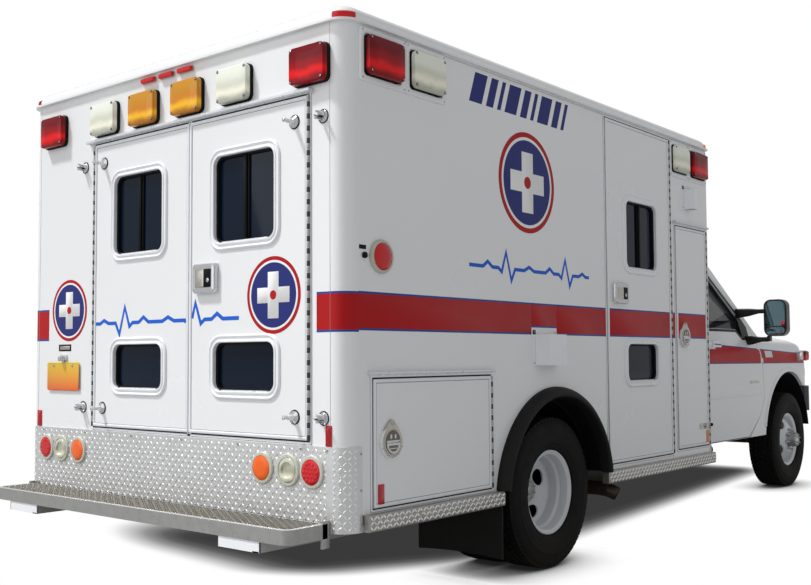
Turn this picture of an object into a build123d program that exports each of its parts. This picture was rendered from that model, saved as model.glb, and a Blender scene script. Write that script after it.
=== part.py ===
from build123d import *
from math import cos, pi, radians, sin
import os

os.makedirs("parts", exist_ok=True)

# Box-body ambulance on a pickup-derived cab chassis with dual rear wheels.
# Millimetres, +X forward, +Y to the left, +Z up. The origin is on the ground
# under the middle of the vehicle's outer box.

# ---------------------------------------------------------------- layout along X
step_reach = 250.0
rear_axle_setback = 1644.0
module_length = 3650.0
cab_gap = 128.0
cab_axle = 2052.0
front_overhang = 963.0

x_tail = -(step_reach + module_length + cab_gap + cab_axle + front_overhang) / 2
x_rear = x_tail + step_reach
x_axle_r = x_rear + rear_axle_setback
x_front = x_rear + module_length
x_cab = x_front + cab_gap
x_axle_f = x_cab + cab_axle
x_nose = x_axle_f + front_overhang

# ---------------------------------------------------------------- module (patient box)
module_half = 1200.0
wall = 60.0
corner_post = 110.0
corner_radius = 85.0
front_corner_radius = 20.0
skirt_z = 466.0
floor_top = 752.0
floor_depth = 62.0
roof_top = 2606.0
roof_edge = 78.0
gutter_z = roof_top - roof_edge
gutter_reach = 22.0
gutter_depth = 10.0
roof_skin = 50.0
roof_round = 55.0
door_gap = 6.0
y_inner = module_half - wall
x_in_rear = x_rear + wall
x_in_front = x_front - wall

# ---------------------------------------------------------------- doors of the module
door_depth = 55.0
skin_lip = 5.0
hinge_radius = 6.0
hinge_out = 7.0
hinge_side = 3.0
pane = 6.0
window_round = 45.0
paddle_depth = 22.0

# rear doors
rear_door_low = 770.0
rear_door_high = gutter_z - 291.0
rear_hinge_left = 582.0
rear_hinge_right = -994.0
rear_split = -200.0
window_upper = (rear_door_high - 592.0, rear_door_high - 189.0)
window_lower = (968.0, 1190.0)

# entry door, x from the module's rear face
entry_width = 835.0
entry_front = module_length - 601.0
entry_rear = entry_front - entry_width
entry_low = 501.0
entry_high = gutter_z - 22.0
entry_window = (entry_rear + 229.0, entry_front - 207.0)

# lockers reached from outside, one of each on either side, x from the module's rear face
locker_depth = 460.0
liner = 20.0
locker_door_depth = 45.0
latch_radius = 70.0
latch_depth = 14.0
front_locker_rear = module_length - 516.0
sides = ((-1, "right"), (1, "left"))
# place, rear edge, front edge, bottom, top, latch x, latch z
locker_table = (
    ("rear", 171.0, 1031.0, 487.0, 1026.0, 277.0, 757.0),
    ("front", front_locker_rear, module_length - 45.0, 520.0, gutter_z - 568.0,
     front_locker_rear + 103.0, 1240.0),
)

# ---------------------------------------------------------------- wheels
tyre_radius = 398.0
tyre_half_width = 117.5
rim_flange_radius = 222.0
rim_half_width = 92.0
rim_barrel_radius = 203.0
tyre_bore_radius = 204.0
wheel_z = tyre_radius
front_wheel_y = 868.0
dual_mid_y = 940.0
dual_spacing = 260.0
spindle_radius = 32.0
axle_end_radius = 45.0
running_clearance = 0.05
kingpin_y = 790.0
kingpin_radius = 18.0
rear_arch_radius = 505.0
front_arch_radius = 580.0
flare_radius = 560.0
flare_reach = 60.0

# ---------------------------------------------------------------- chassis
rail_inner = 340.0
rail_outer = 430.0
rail_low = 500.0
rail_high = 660.0
rail_web = 10.0
x_rail_rear = x_rear + 150.0
x_rail_front = x_nose - 180.0

# ---------------------------------------------------------------- rear step and plates
step_half = 1120.0
step_top = 440.0
step_depth = 60.0
step_bar = 30.0
kick_low = 397.0
kick_high = 749.0
kick_thick = 4.0
rub_low = 396.0
rub_reach = 35.0

# ---------------------------------------------------------------- cab
bumper_low = 620.0
cab_half = 985.0
cab_roof_half = 775.0
cab_roof = 1950.0
cab_low = 470.0
cab_floor = 720.0
cab_skin = 50.0
cab_door_depth = 60.0
fender_skin = 26.0
cab_wall_clear = 6.0
cab_shoulder_half = 940.0
cab_shoulder_z = 1250.0
cab_side_top = 1120.0
mirror_out = 1280.0
hood_skin = 30.0
hood_half = 760.0


def slab(x, y, z, mode=Mode.ADD):
    """A box given by its low and high bounds on each axis."""
    with Locations(((x[0] + x[1]) / 2, (y[0] + y[1]) / 2, (z[0] + z[1]) / 2)):
        Box(x[1] - x[0], y[1] - y[0], z[1] - z[0], mode=mode)


def side_slab(side, x, y, z, mode=Mode.ADD):
    """A box on one side of the vehicle: y is given as distances from the centre line."""
    slab(x, sorted((side * y[0], side * y[1])), z, mode)


def prism_y(points, y, mode=Mode.ADD):
    """An XZ outline extruded across the vehicle from y[0] to y[1]."""
    with BuildSketch(Plane.XZ.offset(-y[1])) as outline:
        with BuildLine():
            Polyline(*points, close=True)
        make_face()
    extrude(outline.sketch, amount=y[1] - y[0], mode=mode)


def prism_x(points, x, mode=Mode.ADD):
    """A YZ outline extruded along the vehicle from x[0] to x[1]."""
    with BuildSketch(Plane.YZ.offset(x[0])) as outline:
        with BuildLine():
            Polyline(*points, close=True)
        make_face()
    extrude(outline.sketch, amount=x[1] - x[0], mode=mode)


def disc_y(x, z, radius, y, mode=Mode.ADD):
    """A cylinder across the vehicle from y[0] to y[1]."""
    with Locations(Location((x, (y[0] + y[1]) / 2, z), (90, 0, 0))):
        Cylinder(radius, y[1] - y[0], mode=mode)


def disc_x(y, z, radius, x, mode=Mode.ADD):
    """A cylinder along the vehicle from x[0] to x[1]."""
    with Locations(Location(((x[0] + x[1]) / 2, y, z), (0, 90, 0))):
        Cylinder(radius, x[1] - x[0], mode=mode)


def post(x, y, radius, z, mode=Mode.ADD):
    """A vertical cylinder from z[0] to z[1]."""
    with Locations((x, y, (z[0] + z[1]) / 2)):
        Cylinder(radius, z[1] - z[0], mode=mode)


def save(builder, name):
    """Label a finished piece and write it."""
    builder.part.label = name
    export_step(builder.part, f"parts/{name}.step")


def rounded_x(y, z, x, radius, mode=Mode.ADD):
    """A slab facing along X with rounded corners."""
    with BuildSketch(Plane.YZ.offset(x[0])) as outline:
        with Locations(((y[0] + y[1]) / 2, (z[0] + z[1]) / 2)):
            RectangleRounded(y[1] - y[0], z[1] - z[0], radius)
    extrude(outline.sketch, amount=x[1] - x[0], mode=mode)


def rounded_y(x, z, y, radius, mode=Mode.ADD):
    """A slab facing across the vehicle with rounded corners."""
    with BuildSketch(Plane.XZ.offset(-y[1])) as outline:
        with Locations(((x[0] + x[1]) / 2, (z[0] + z[1]) / 2)):
            RectangleRounded(x[1] - x[0], z[1] - z[0], radius)
    extrude(outline.sketch, amount=y[1] - y[0], mode=mode)


def drawn_in(corners, inset):
    """The corners of a closed outline, given anticlockwise, after its sides move inward by an inset."""
    moved = []
    for before, here, after in zip(corners[-1:] + corners[:-1], corners, corners[1:] + corners[:1]):
        arriving = (Vector(*here) - Vector(*before)).normalized()
        leaving = (Vector(*after) - Vector(*here)).normalized()
        reach = inset / (1 + arriving.dot(leaving))
        moved.append((here[0] - (arriving.Y + leaving.Y) * reach, here[1] + (arriving.X + leaving.X) * reach))
    return moved


# ================================================================ chassis
cross_table = (0.10, 0.30, 0.45, 0.62)

with BuildPart() as frame_rails:
    for side in (-1, 1):
        rail_x = (x_rail_rear, x_rail_front)
        side_slab(side, rail_x, (rail_outer - rail_web, rail_outer), (rail_low, rail_high))
        side_slab(side, rail_x, (rail_inner, rail_outer), (rail_low, rail_low + rail_web))
        side_slab(side, rail_x, (rail_inner, rail_outer), (rail_high - rail_web, rail_high))
    for share in cross_table:
        cross_x = x_rail_rear + share * (x_rail_front - x_rail_rear)
        slab((cross_x - 40, cross_x + 40), (-rail_outer, rail_outer), (rail_low + 20, rail_high - 40))
    slab((x_rail_front - 60, x_rail_front), (-rail_outer, rail_outer), (rail_low + 20, rail_high - 40))
    rear_beam_x = (x_rail_rear + 60, x_rail_rear + 140)
    slab(rear_beam_x, (-module_half + 220, module_half - 220), (step_top - step_depth, skirt_z))
    slab(rear_beam_x, (-rail_outer, rail_outer), (skirt_z, rail_low))
save(frame_rails, "frame_rails")

spring_half_rear = 700.0
spring_half_front = 520.0
axle_tube_radius = 60.0
beam_half = 45.0
spring_top_front = rail_low
spring_low_front = wheel_z + beam_half
spring_y_rear = (470.0, 545.0)
spring_y_front = (350.0, 420.0)
kingpin_span = (wheel_z - 105.0, wheel_z + 105.0)

with BuildPart() as axles_and_springs:
    disc_y(x_axle_r, wheel_z, axle_tube_radius, (-640, 640))
    disc_y(x_axle_r, wheel_z, axle_end_radius, (-dual_mid_y - 80, dual_mid_y + 80))
    with Locations((x_axle_r, 0, wheel_z)):
        Sphere(155)
    disc_x(0, wheel_z, 62, (x_axle_r, x_axle_r + 250))
    slab((x_axle_f - beam_half, x_axle_f + beam_half), (-kingpin_y, kingpin_y),
         (wheel_z - beam_half, wheel_z + beam_half))
    for side in (-1, 1):
        side_slab(side, (x_axle_r - spring_half_rear, x_axle_r + spring_half_rear), spring_y_rear,
                  (wheel_z + axle_tube_radius - 10, wheel_z + axle_tube_radius + 45))
        for end in (-1, 1):
            hanger_x = x_axle_r + end * (spring_half_rear - 40)
            side_slab(side, (hanger_x - 40, hanger_x + 40), (rail_outer, spring_y_rear[1]),
                      (wheel_z + axle_tube_radius, rail_high - 40))
        side_slab(side, (x_axle_f - spring_half_front, x_axle_f + spring_half_front), spring_y_front,
                  (spring_low_front, spring_top_front))
        post(x_axle_f, side * kingpin_y, beam_half, (wheel_z - beam_half, wheel_z + beam_half))
        post(x_axle_f, side * kingpin_y, kingpin_radius, kingpin_span)
save(axles_and_springs, "axles_and_springs")

engine_x = (x_axle_f - 520.0, x_axle_f + 430.0)
engine_half = 300.0
gearbox_length = 760.0
shaft_z = 442.0
tank_x = (x_front - 1280.0, x_front - 560.0)
tank_y = (470.0, 860.0)
tank_z = (370.0, 660.0)
pipe_radius = 38.0
muffler_radius = 90.0
pipe_y = -600.0
pipe_z = 350.0
tip_x = x_axle_r + 641.0
muffler_x = (tip_x + 500.0, x_front - 120.0)

with BuildPart() as powertrain:
    slab(engine_x, (-engine_half, engine_half), (rail_low + 5, 1110))
    slab((engine_x[0] - gearbox_length, engine_x[0]), (-175, 175), (shaft_z - 60, rail_high))
    disc_x(0, shaft_z, 40, (x_axle_r + 250, engine_x[0] - gearbox_length))
    with BuildSketch(Plane.YZ.offset(tank_x[0])) as tank_section:
        with Locations(((tank_y[0] + tank_y[1]) / 2, (tank_z[0] + tank_z[1]) / 2)):
            RectangleRounded(tank_y[1] - tank_y[0], tank_z[1] - tank_z[0], 60)
    extrude(tank_section.sketch, amount=tank_x[1] - tank_x[0])
    side_slab(1, (tank_x[0] + 150, tank_x[0] + 200), (rail_outer, tank_y[0] + 5), (540, 600))
    side_slab(1, (tank_x[1] - 200, tank_x[1] - 150), (rail_outer, tank_y[0] + 5), (540, 600))
    disc_x(pipe_y, pipe_z, pipe_radius, (tip_x, engine_x[0] - 300))
    disc_x(pipe_y, pipe_z, muffler_radius, muffler_x)
    disc_y(tip_x, pipe_z, pipe_radius, (-module_half + 40, pipe_y + pipe_radius))
    hanger_z = (pipe_z + muffler_radius - 20, rail_low + 20)
    slab((muffler_x[0] + 40, muffler_x[0] + 70), (pipe_y - 20, -rail_outer), hanger_z)
save(powertrain, "powertrain")

# ================================================================ module shell
tub_half = 525.0
tub_inner = 650.0
tub_top = 915.0
end_half = module_half - corner_post
well_reach = 260.0
well_floor = 24.0


def locker_box(row):
    """Outer bounds of a locker's liner: x, distances from the centre line, z."""
    place, rear, front, low, high, latch_x, latch_z = row
    x = (x_rear + rear - door_gap - liner, min(x_rear + front + door_gap + liner, x_in_front))
    return x, (y_inner - locker_depth, y_inner), (low - door_gap, high + door_gap + liner)


with BuildPart() as module_floor:
    slab((x_in_rear, x_in_front), (-end_half, end_half), (floor_top - floor_depth, floor_top))
    slab((x_rear + corner_post, x_in_front), (-y_inner, y_inner), (floor_top - floor_depth, floor_top))
    for side in (-1, 1):
        tub_x = (x_axle_r - tub_half, x_axle_r + tub_half)
        side_slab(side, tub_x, (tub_inner, y_inner), (floor_top - floor_depth, tub_top))
        side_slab(side, (tub_x[0] + liner, tub_x[1] - liner), (tub_inner + liner, y_inner),
                  (floor_top - floor_depth, tub_top - liner), Mode.SUBTRACT)
    for row in locker_table:
        box_x, box_y, box_z = locker_box(row)
        for side in (-1, 1):
            side_slab(side, box_x, box_y, (floor_top - floor_depth, tub_top), Mode.SUBTRACT)
    well_x = (x_rear + entry_rear - door_gap, x_rear + entry_front + door_gap)
    well_z = (entry_low - door_gap - well_floor, floor_top)
    side_slab(-1, (well_x[0] - liner, well_x[1] + liner), (y_inner - well_reach - liner, y_inner), well_z)
    side_slab(-1, well_x, (y_inner - well_reach, y_inner + 1), (well_z[0] + well_floor, floor_top + 1),
              Mode.SUBTRACT)
    for share in (0.06, 0.32, 0.60, 0.76, 0.96):
        sill_x = x_in_rear + share * (x_in_front - x_in_rear)
        slab((sill_x - 30, sill_x + 30), (-640, 640), (rail_high, floor_top - floor_depth))
save(module_floor, "module_floor")


def module_side(side):
    """Side wall with its rounded corner posts, door openings and wheel arch."""
    with BuildSketch(Plane.XY.offset(skirt_z)) as plan:
        with Locations(((x_rear + x_front) / 2, side * (module_half - wall / 2))):
            Rectangle(module_length, wall)
        with Locations((x_rear + corner_post / 2, side * (module_half - corner_post / 2))):
            Rectangle(corner_post, corner_post)
        outer = plan.vertices().sort_by(Axis.Y)[:2] if side < 0 else plan.vertices().sort_by(Axis.Y)[-2:]
        rear_corner, front_corner = outer.sort_by(Axis.X)
        fillet(rear_corner, corner_radius)
        fillet(front_corner, front_corner_radius)
    extrude(plan.sketch, amount=gutter_z - skirt_z)
    disc_y(x_axle_r, wheel_z, rear_arch_radius, sorted((side * (module_half + 5), side * (y_inner - 60))),
           Mode.SUBTRACT)
    for place, rear, front, low, high, latch_x, latch_z in locker_table:
        side_slab(side, (x_rear + rear - door_gap, x_rear + front + door_gap), (y_inner - 60, module_half + 5),
                  (low - door_gap, high + door_gap), Mode.SUBTRACT)


with BuildPart() as module_left_wall:
    module_side(1)
save(module_left_wall, "module_left_wall")

with BuildPart() as module_right_wall:
    module_side(-1)
    side_slab(-1, (x_rear + entry_rear - door_gap, x_rear + entry_front + door_gap),
              (y_inner - 5, module_half + 5), (entry_low - door_gap, entry_high + door_gap), Mode.SUBTRACT)
save(module_right_wall, "module_right_wall")

pass_half = 250.0
pass_z = (1180.0, 1640.0)

with BuildPart() as module_end_walls:
    slab((x_rear, x_in_rear), (-end_half, end_half), (skirt_z, gutter_z))
    slab((x_rear - 5, x_in_rear + 5), (rear_hinge_right - door_gap, rear_hinge_left + door_gap),
         (rear_door_low - door_gap, rear_door_high + door_gap), Mode.SUBTRACT)
    slab((x_in_front, x_front), (-y_inner, y_inner), (floor_top - floor_depth, gutter_z))
    for side in (-1, 1):
        side_slab(side, (x_in_front, x_front), (y_inner - locker_depth, y_inner),
                  (skirt_z, floor_top - floor_depth))
    slab((x_in_front - 5, x_front + 5), (-pass_half, pass_half), pass_z, Mode.SUBTRACT)
save(module_end_walls, "module_end_walls")

with BuildPart() as module_roof:
    with BuildSketch(Plane.XY.offset(gutter_z)) as roof_plan:
        with Locations(((x_rear + x_front) / 2, 0)):
            Rectangle(module_length, 2 * module_half)
        fillet(roof_plan.vertices().sort_by(Axis.X)[:2], corner_radius)
        fillet(roof_plan.vertices().sort_by(Axis.X)[-2:], front_corner_radius)
    extrude(roof_plan.sketch, amount=roof_top - gutter_z)
    fillet(module_roof.edges().group_by(Axis.Z)[-1], roof_round)
    with BuildSketch(Plane.XY.offset(gutter_z)) as gutter_plan:
        with Locations(((x_rear + x_front) / 2, 0)):
            Rectangle(module_length + 2 * gutter_reach, 2 * (module_half + gutter_reach))
        fillet(gutter_plan.vertices().sort_by(Axis.X)[:2], corner_radius + gutter_reach)
        fillet(gutter_plan.vertices().sort_by(Axis.X)[-2:], front_corner_radius + gutter_reach)
    extrude(gutter_plan.sketch, amount=gutter_depth)
    slab((x_in_rear, x_in_front), (-y_inner, y_inner), (gutter_z, roof_top - roof_skin), Mode.SUBTRACT)
save(module_roof, "module_roof")

with BuildPart() as locker_liners:
    for row in locker_table:
        box_x, box_y, box_z = locker_box(row)
        for side in (-1, 1):
            side_slab(side, box_x, box_y, box_z)
            side_slab(side, (box_x[0] + liner, box_x[1] - liner), (box_y[0] + liner, box_y[1] + 1),
                      (box_z[0] + liner, box_z[1] - liner), Mode.SUBTRACT)
save(locker_liners, "locker_liners")

bench_y = (600.0, 1140.0)
bench_x = (x_rear + corner_post + 10, x_rear + entry_rear - door_gap - liner)
bench_panel = 18.0
bench_top = 1200.0
counter_top = 1100.0
cabinet_x = (x_rear + corner_post + 10, x_front - 600.0)
cabinet_top = roof_top - roof_skin - 40.0
niche_table = ((0.06, 0.30), (0.36, 0.62), (0.68, 0.94))

with BuildPart() as bench_and_cabinets:
    side_slab(-1, bench_x, (bench_y[0], bench_y[0] + bench_panel), (floor_top, bench_top))
    side_slab(-1, bench_x, (bench_y[0], y_inner), (bench_top - bench_panel, bench_top))
    side_slab(-1, (bench_x[1] - bench_panel, bench_x[1]), (bench_y[0], y_inner), (floor_top, bench_top))
    side_slab(1, cabinet_x, (bench_y[0], bench_y[0] + liner), (floor_top, counter_top))
    side_slab(1, cabinet_x, (bench_y[0], y_inner), (counter_top - liner, counter_top))
    side_slab(1, cabinet_x, (740, y_inner), (counter_top, cabinet_top))
    for start, end in niche_table:
        niche_x = (cabinet_x[0] + start * (cabinet_x[1] - cabinet_x[0]),
                   cabinet_x[0] + end * (cabinet_x[1] - cabinet_x[0]))
        side_slab(1, niche_x, (700, y_inner - 60), (counter_top + 90, counter_top + 560), Mode.SUBTRACT)
        side_slab(1, niche_x, (700, y_inner - 60), (counter_top + 640, cabinet_top - 116), Mode.SUBTRACT)
save(bench_and_cabinets, "bench_and_cabinets")

# ================================================================ outside fittings of the module
grate_count = 8

with BuildPart() as step_and_plates:
    with BuildSketch(Plane.XY.offset(kick_low)) as kick_plan:
        kick_x = (x_rear - kick_thick, x_rear + 100)
        with Locations(((kick_x[0] + kick_x[1]) / 2, 0)):
            Rectangle(kick_x[1] - kick_x[0], 2 * (module_half + kick_thick))
        fillet(kick_plan.vertices().sort_by(Axis.X)[:2], corner_radius + kick_thick)
        with BuildSketch(mode=Mode.SUBTRACT) as kick_core:
            with Locations(((x_rear + kick_x[1] + 60) / 2, 0)):
                Rectangle(kick_x[1] + 60 - x_rear, 2 * module_half)
            fillet(kick_core.vertices().sort_by(Axis.X)[:2], corner_radius)
    extrude(kick_plan.sketch, amount=kick_high - kick_low)
    for side in (-1, 1):
        rub_y = (module_half - 60, module_half + rub_reach)
        side_slab(side, (x_rear + 107, x_axle_r - rear_arch_radius - 10), rub_y, (rub_low, skirt_z))
        side_slab(side, (x_axle_r + rear_arch_radius - 10, x_front - 4), rub_y, (rub_low, skirt_z))

    step_x = (x_tail, x_rear - 20)
    slab(step_x, (-step_half, step_half), (step_top - step_depth, step_top))
    slab((step_x[0] + step_bar, step_x[1] - step_bar), (-step_half + step_bar, step_half - step_bar),
         (step_top - step_depth - 1, step_top + 1), Mode.SUBTRACT)
    chamfer(step_and_plates.edges().filter_by(Axis.Z).group_by(Axis.X)[0], 25)
    grate_pitch = (step_x[1] - step_x[0] - 2 * step_bar) / grate_count
    for index in range(1, grate_count):
        bar_x = step_x[0] + step_bar + index * grate_pitch
        slab((bar_x - 4, bar_x + 4), (-step_half + 10, step_half - 10), (step_top - 25, step_top))
    for index in range(1, 12):
        bar_y = -step_half + index * 2 * step_half / 12
        slab((step_x[0] + 10, step_x[1] - 10), (bar_y - 6, bar_y + 6), (step_top - 40, step_top - 25))
    for side in (-1, 1):
        side_slab(side, (x_tail + 4, x_rail_rear + 140), (700, 960),
                  (step_top - step_depth - 45, step_top - step_depth))
save(step_and_plates, "step_and_plates")

flap_x = x_axle_r - tyre_radius - 112.0

with BuildPart() as flares_and_flaps:
    for side in (-1, 1):
        flare_y = sorted((side * module_half, side * (module_half + flare_reach)))
        disc_y(x_axle_r, wheel_z, flare_radius, flare_y)
        disc_y(x_axle_r, wheel_z, rear_arch_radius, flare_y, Mode.SUBTRACT)
        slab((x_axle_r - 700, x_axle_r + 700), (flare_y[0] - 1, flare_y[1] + 1), (-300, skirt_z + 4),
             Mode.SUBTRACT)
        side_slab(side, (flap_x - 5, flap_x + 5), (670, y_inner - 2), (125, floor_top - floor_depth))
        side_slab(side, (flap_x - 5, flap_x + 5), (670, module_half - 5), (125, rub_low - 4))
    slab((x_front, x_cab), (-pass_half - 60, pass_half + 60), (pass_z[0] - 60, pass_z[1] + 60))
    slab((x_front - 1, x_cab + 1), (-pass_half - 10, pass_half + 10), (pass_z[0] - 10, pass_z[1] + 10),
         Mode.SUBTRACT)
    dam_x = (x_nose - 130, x_nose - 60)
    slab(dam_x, (-rail_inner + 4, rail_inner - 4), (505, bumper_low - 2))
    for side in (-1, 1):
        side_slab(side, dam_x, (rail_outer + 4, 600), (505, bumper_low - 2))
save(flares_and_flaps, "flares_and_flaps")

# lamps on the end faces: half width, half height, corner radius, depth
warning_lamp = (107.0, 85.0, 12.0, 45.0)
marker_lamp = (57.0, 13.0, 8.0, 22.0)
warning_z = gutter_z - 167.0
marker_z = gutter_z - 26.0
rear_warning_y = (957.0, 480.0, 147.0, -195.0, -535.0, -1015.0)
rear_marker_y = (122.0, -22.0, -166.0)
front_warning_y = (1015.0, 500.0, 0.0, -500.0, -1015.0)
front_marker_y = (144.0, 0.0, -144.0)
# lamps on the side faces: centre x from the rear face, centre z, half length, half height, radius, depth
side_lamp_table = (
    (240.0, gutter_z - 126.0, 150.0, 115.0, 14.0, 12.0),
    (237.5, gutter_z - 126.0, 122.0, 88.0, 14.0, 40.0),
    (536.0, gutter_z - 126.0, 144.0, 115.0, 14.0, 12.0),
    (538.0, gutter_z - 126.0, 119.0, 86.0, 14.0, 40.0),
    (module_length - 448.0, gutter_z - 131.0, 137.0, 112.0, 14.0, 12.0),
    (module_length - 443.0, gutter_z - 128.0, 114.0, 90.0, 14.0, 40.0),
    (module_length - 164.0, gutter_z - 131.0, 140.0, 112.0, 14.0, 12.0),
    (module_length - 157.0, gutter_z - 128.0, 117.0, 90.0, 14.0, 40.0),
)
# lamps round the roof's corners: x and corner radius of the roof's plan, way out along x
corner_lamp_table = (
    (x_rear + corner_radius, corner_radius, -1),
    (x_front - front_corner_radius, front_corner_radius, 1),
)
corner_lamp_z = (gutter_z + gutter_depth + 2.0, gutter_z + gutter_depth + 38.0)
corner_lamp_depth = 15.0
tail_lamp_y = (712.0, 873.5, 1016.0)
tail_lamp_z = 640.0
tail_lamp_radius = 71.0

with BuildPart() as lamps:
    for lamp, lamp_z, rear_y, front_y in ((warning_lamp, warning_z, rear_warning_y, front_warning_y),
                                          (marker_lamp, marker_z, rear_marker_y, front_marker_y)):
        half_w, half_h, radius, depth = lamp
        z = (lamp_z - half_h, lamp_z + half_h)
        for y in rear_y:
            rounded_x((y - half_w, y + half_w), z, (x_rear - depth, x_rear), radius)
        for y in front_y:
            rounded_x((y - half_w, y + half_w), z, (x_front, x_front + depth), radius)
    for centre_x, radius, way in corner_lamp_table:
        for side in (-1, 1):
            centre_y = side * (module_half - radius)
            with BuildSketch(Plane.XY.offset(corner_lamp_z[0])) as lens:
                with Locations((centre_x, centre_y)):
                    Circle(radius + corner_lamp_depth)
                    Circle(radius, mode=Mode.SUBTRACT)
                with Locations((centre_x + way * radius, centre_y + side * radius)):
                    Rectangle(2 * radius, 2 * radius, mode=Mode.INTERSECT)
            extrude(lens.sketch, amount=corner_lamp_z[1] - corner_lamp_z[0])
    for side in (-1, 1):
        for x, z, half_w, half_h, radius, depth in side_lamp_table:
            lamp_y = sorted((side * module_half, side * (module_half + depth)))
            rounded_y((x_rear + x - half_w, x_rear + x + half_w), (z - half_h, z + half_h), lamp_y, radius)
        side_slab(side, (x_axle_f + 228, x_axle_f + 335), (cab_half, cab_half + 66), (1068, 1160))
        disc_y(x_rear + 225, 1547, 73, sorted((side * module_half, side * (module_half + 24))))
        for y in tail_lamp_y:
            disc_x(side * y, tail_lamp_z, tail_lamp_radius, (x_rear - kick_thick - 16, x_rear - kick_thick))
save(lamps, "lamps")

plate_y = (711.0, 1015.0)
plate_z = (950.0, 1100.0)
plate_bolt_spacing = 178.0
plate_bolt_radius = 3.5
holder_z = (rear_door_high - 104.0, rear_door_low + 96.0)
holder_y = (rear_hinge_left + 98.0, rear_hinge_right - 86.0)
holder_radius = 16.0
holder_reach = 45.0
plunger_reach = 46.0
plunger_radius = 11.0
plunger_inset = 82.0

with BuildPart() as wall_fittings:
    slab((x_rear - 28, x_rear), (rear_hinge_right - 25, rear_hinge_left + 52),
         (rear_door_high + 13, rear_door_high + 25))
    for y in holder_y:
        for z in holder_z:
            disc_x(y, z, holder_radius, (x_rear - holder_reach, x_rear))
    slab((x_rear - 12, x_rear), plate_y, plate_z)
    with Locations(*[Location((x_rear - 12, (plate_y[0] + plate_y[1]) / 2 + shift, plate_z[1] - 16), (0, -90, 0))
                     for shift in (-plate_bolt_spacing / 2, plate_bolt_spacing / 2)]):
        Hole(plate_bolt_radius, 12)
    slab((x_rear - 34, x_rear), (835, 893), (1112, 1140))
    for side in (-1, 1):
        for place, rear, front, low, high, latch_x, latch_z in locker_table:
            side_slab(side, (x_rear + rear - 30, x_rear + front + 15), (module_half, module_half + 24),
                      (high + 20, high + 30))
        rounded_y((x_front - 380, x_front - 274), (gutter_z - 442, gutter_z - 299),
                  sorted((side * module_half, side * (module_half + 60))), 10)
    side_slab(-1, (x_rear + 1420, x_rear + 1646), (module_half, module_half + 70), (1072, 1255))
save(wall_fittings, "wall_fittings")


# ================================================================ doors of the module
def rear_door(hinge_y, toward):
    """Rear door leaf hinged at hinge_y, reaching toward the meeting edge."""
    meet_y = rear_split - toward * door_gap / 2
    leaf_y = sorted((hinge_y, meet_y))
    leaf_x = (x_rear - skin_lip, x_rear - skin_lip + door_depth)
    slab(leaf_x, leaf_y, (rear_door_low, rear_door_high))
    post(x_rear - hinge_out, hinge_y - toward * hinge_side, hinge_radius, (rear_door_low, rear_door_high))


pane_x = (x_rear + 18, x_rear + 18 + pane)

# name, hinge edge, direction from the hinge to the meeting edge, window limits in y
rear_door_table = (
    ("rear_left_door", "rear_left_glass", rear_hinge_left, -1, (3.0, 400.0)),
    ("rear_right_door", "rear_right_glass", rear_hinge_right, 1, (-790.0, -384.0)),
)

for door_name, glass_name, hinge_y, toward, pane_y in rear_door_table:
    with BuildPart() as leaf:
        rear_door(hinge_y, toward)
        for pane_z in (window_upper, window_lower):
            rounded_x(pane_y, pane_z, (x_rear - 60, x_rear + 80), window_round, Mode.SUBTRACT)
        for z in holder_z:
            disc_x(hinge_y + toward * plunger_inset, z, plunger_radius, (x_rear - plunger_reach, x_rear))
        if toward > 0:
            slab((x_rear - skin_lip - paddle_depth, x_rear), (-410, -254), (1420, 1555))
    save(leaf, door_name)
    with BuildPart() as glass:
        for pane_z in (window_upper, window_lower):
            rounded_x(pane_y, pane_z, pane_x, window_round)
    save(glass, glass_name)

with BuildPart() as entry_door:
    entry_y = (module_half + skin_lip - door_depth, module_half + skin_lip)
    side_slab(-1, (x_rear + entry_rear, x_rear + entry_front), entry_y, (entry_low, entry_high))
    post(x_rear + entry_front + hinge_side, -module_half - hinge_out, hinge_radius, (entry_low, entry_high))
    for pane_z in (window_upper, window_lower):
        rounded_y((x_rear + entry_window[0], x_rear + entry_window[1]), pane_z,
                  (-module_half - 60, -module_half + 80), window_round, Mode.SUBTRACT)
    side_slab(-1, (x_rear + entry_rear + 58, x_rear + entry_rear + 217),
              (module_half, module_half + skin_lip + paddle_depth), (1426, 1546))
save(entry_door, "entry_door")

with BuildPart() as entry_glass:
    for pane_z in (window_upper, window_lower):
        rounded_y((x_rear + entry_window[0], x_rear + entry_window[1]), pane_z,
                  (-module_half + 18, -module_half + 18 + pane), window_round)
save(entry_glass, "entry_glass")

for side, tag in sides:
    for place, rear, front, low, high, latch_x, latch_z in locker_table:
        with BuildPart() as locker_door:
            side_slab(side, (x_rear + rear, x_rear + front),
                      (module_half + skin_lip - locker_door_depth, module_half + skin_lip), (low, high))
            post(x_rear + front + hinge_side, side * (module_half + hinge_out), hinge_radius, (low, high))
            disc_y(x_rear + latch_x, latch_z, latch_radius,
                   sorted((side * module_half, side * (module_half + skin_lip + latch_depth))))
        save(locker_door, f"{tag}_{place}_locker_door")

# ================================================================ cab
# side outline of the cab, x from the cab's back face
screen_base = (1402.0, 1330.0)
screen_top = (790.0, 1890.0)
foot_front = 1484.0


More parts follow.
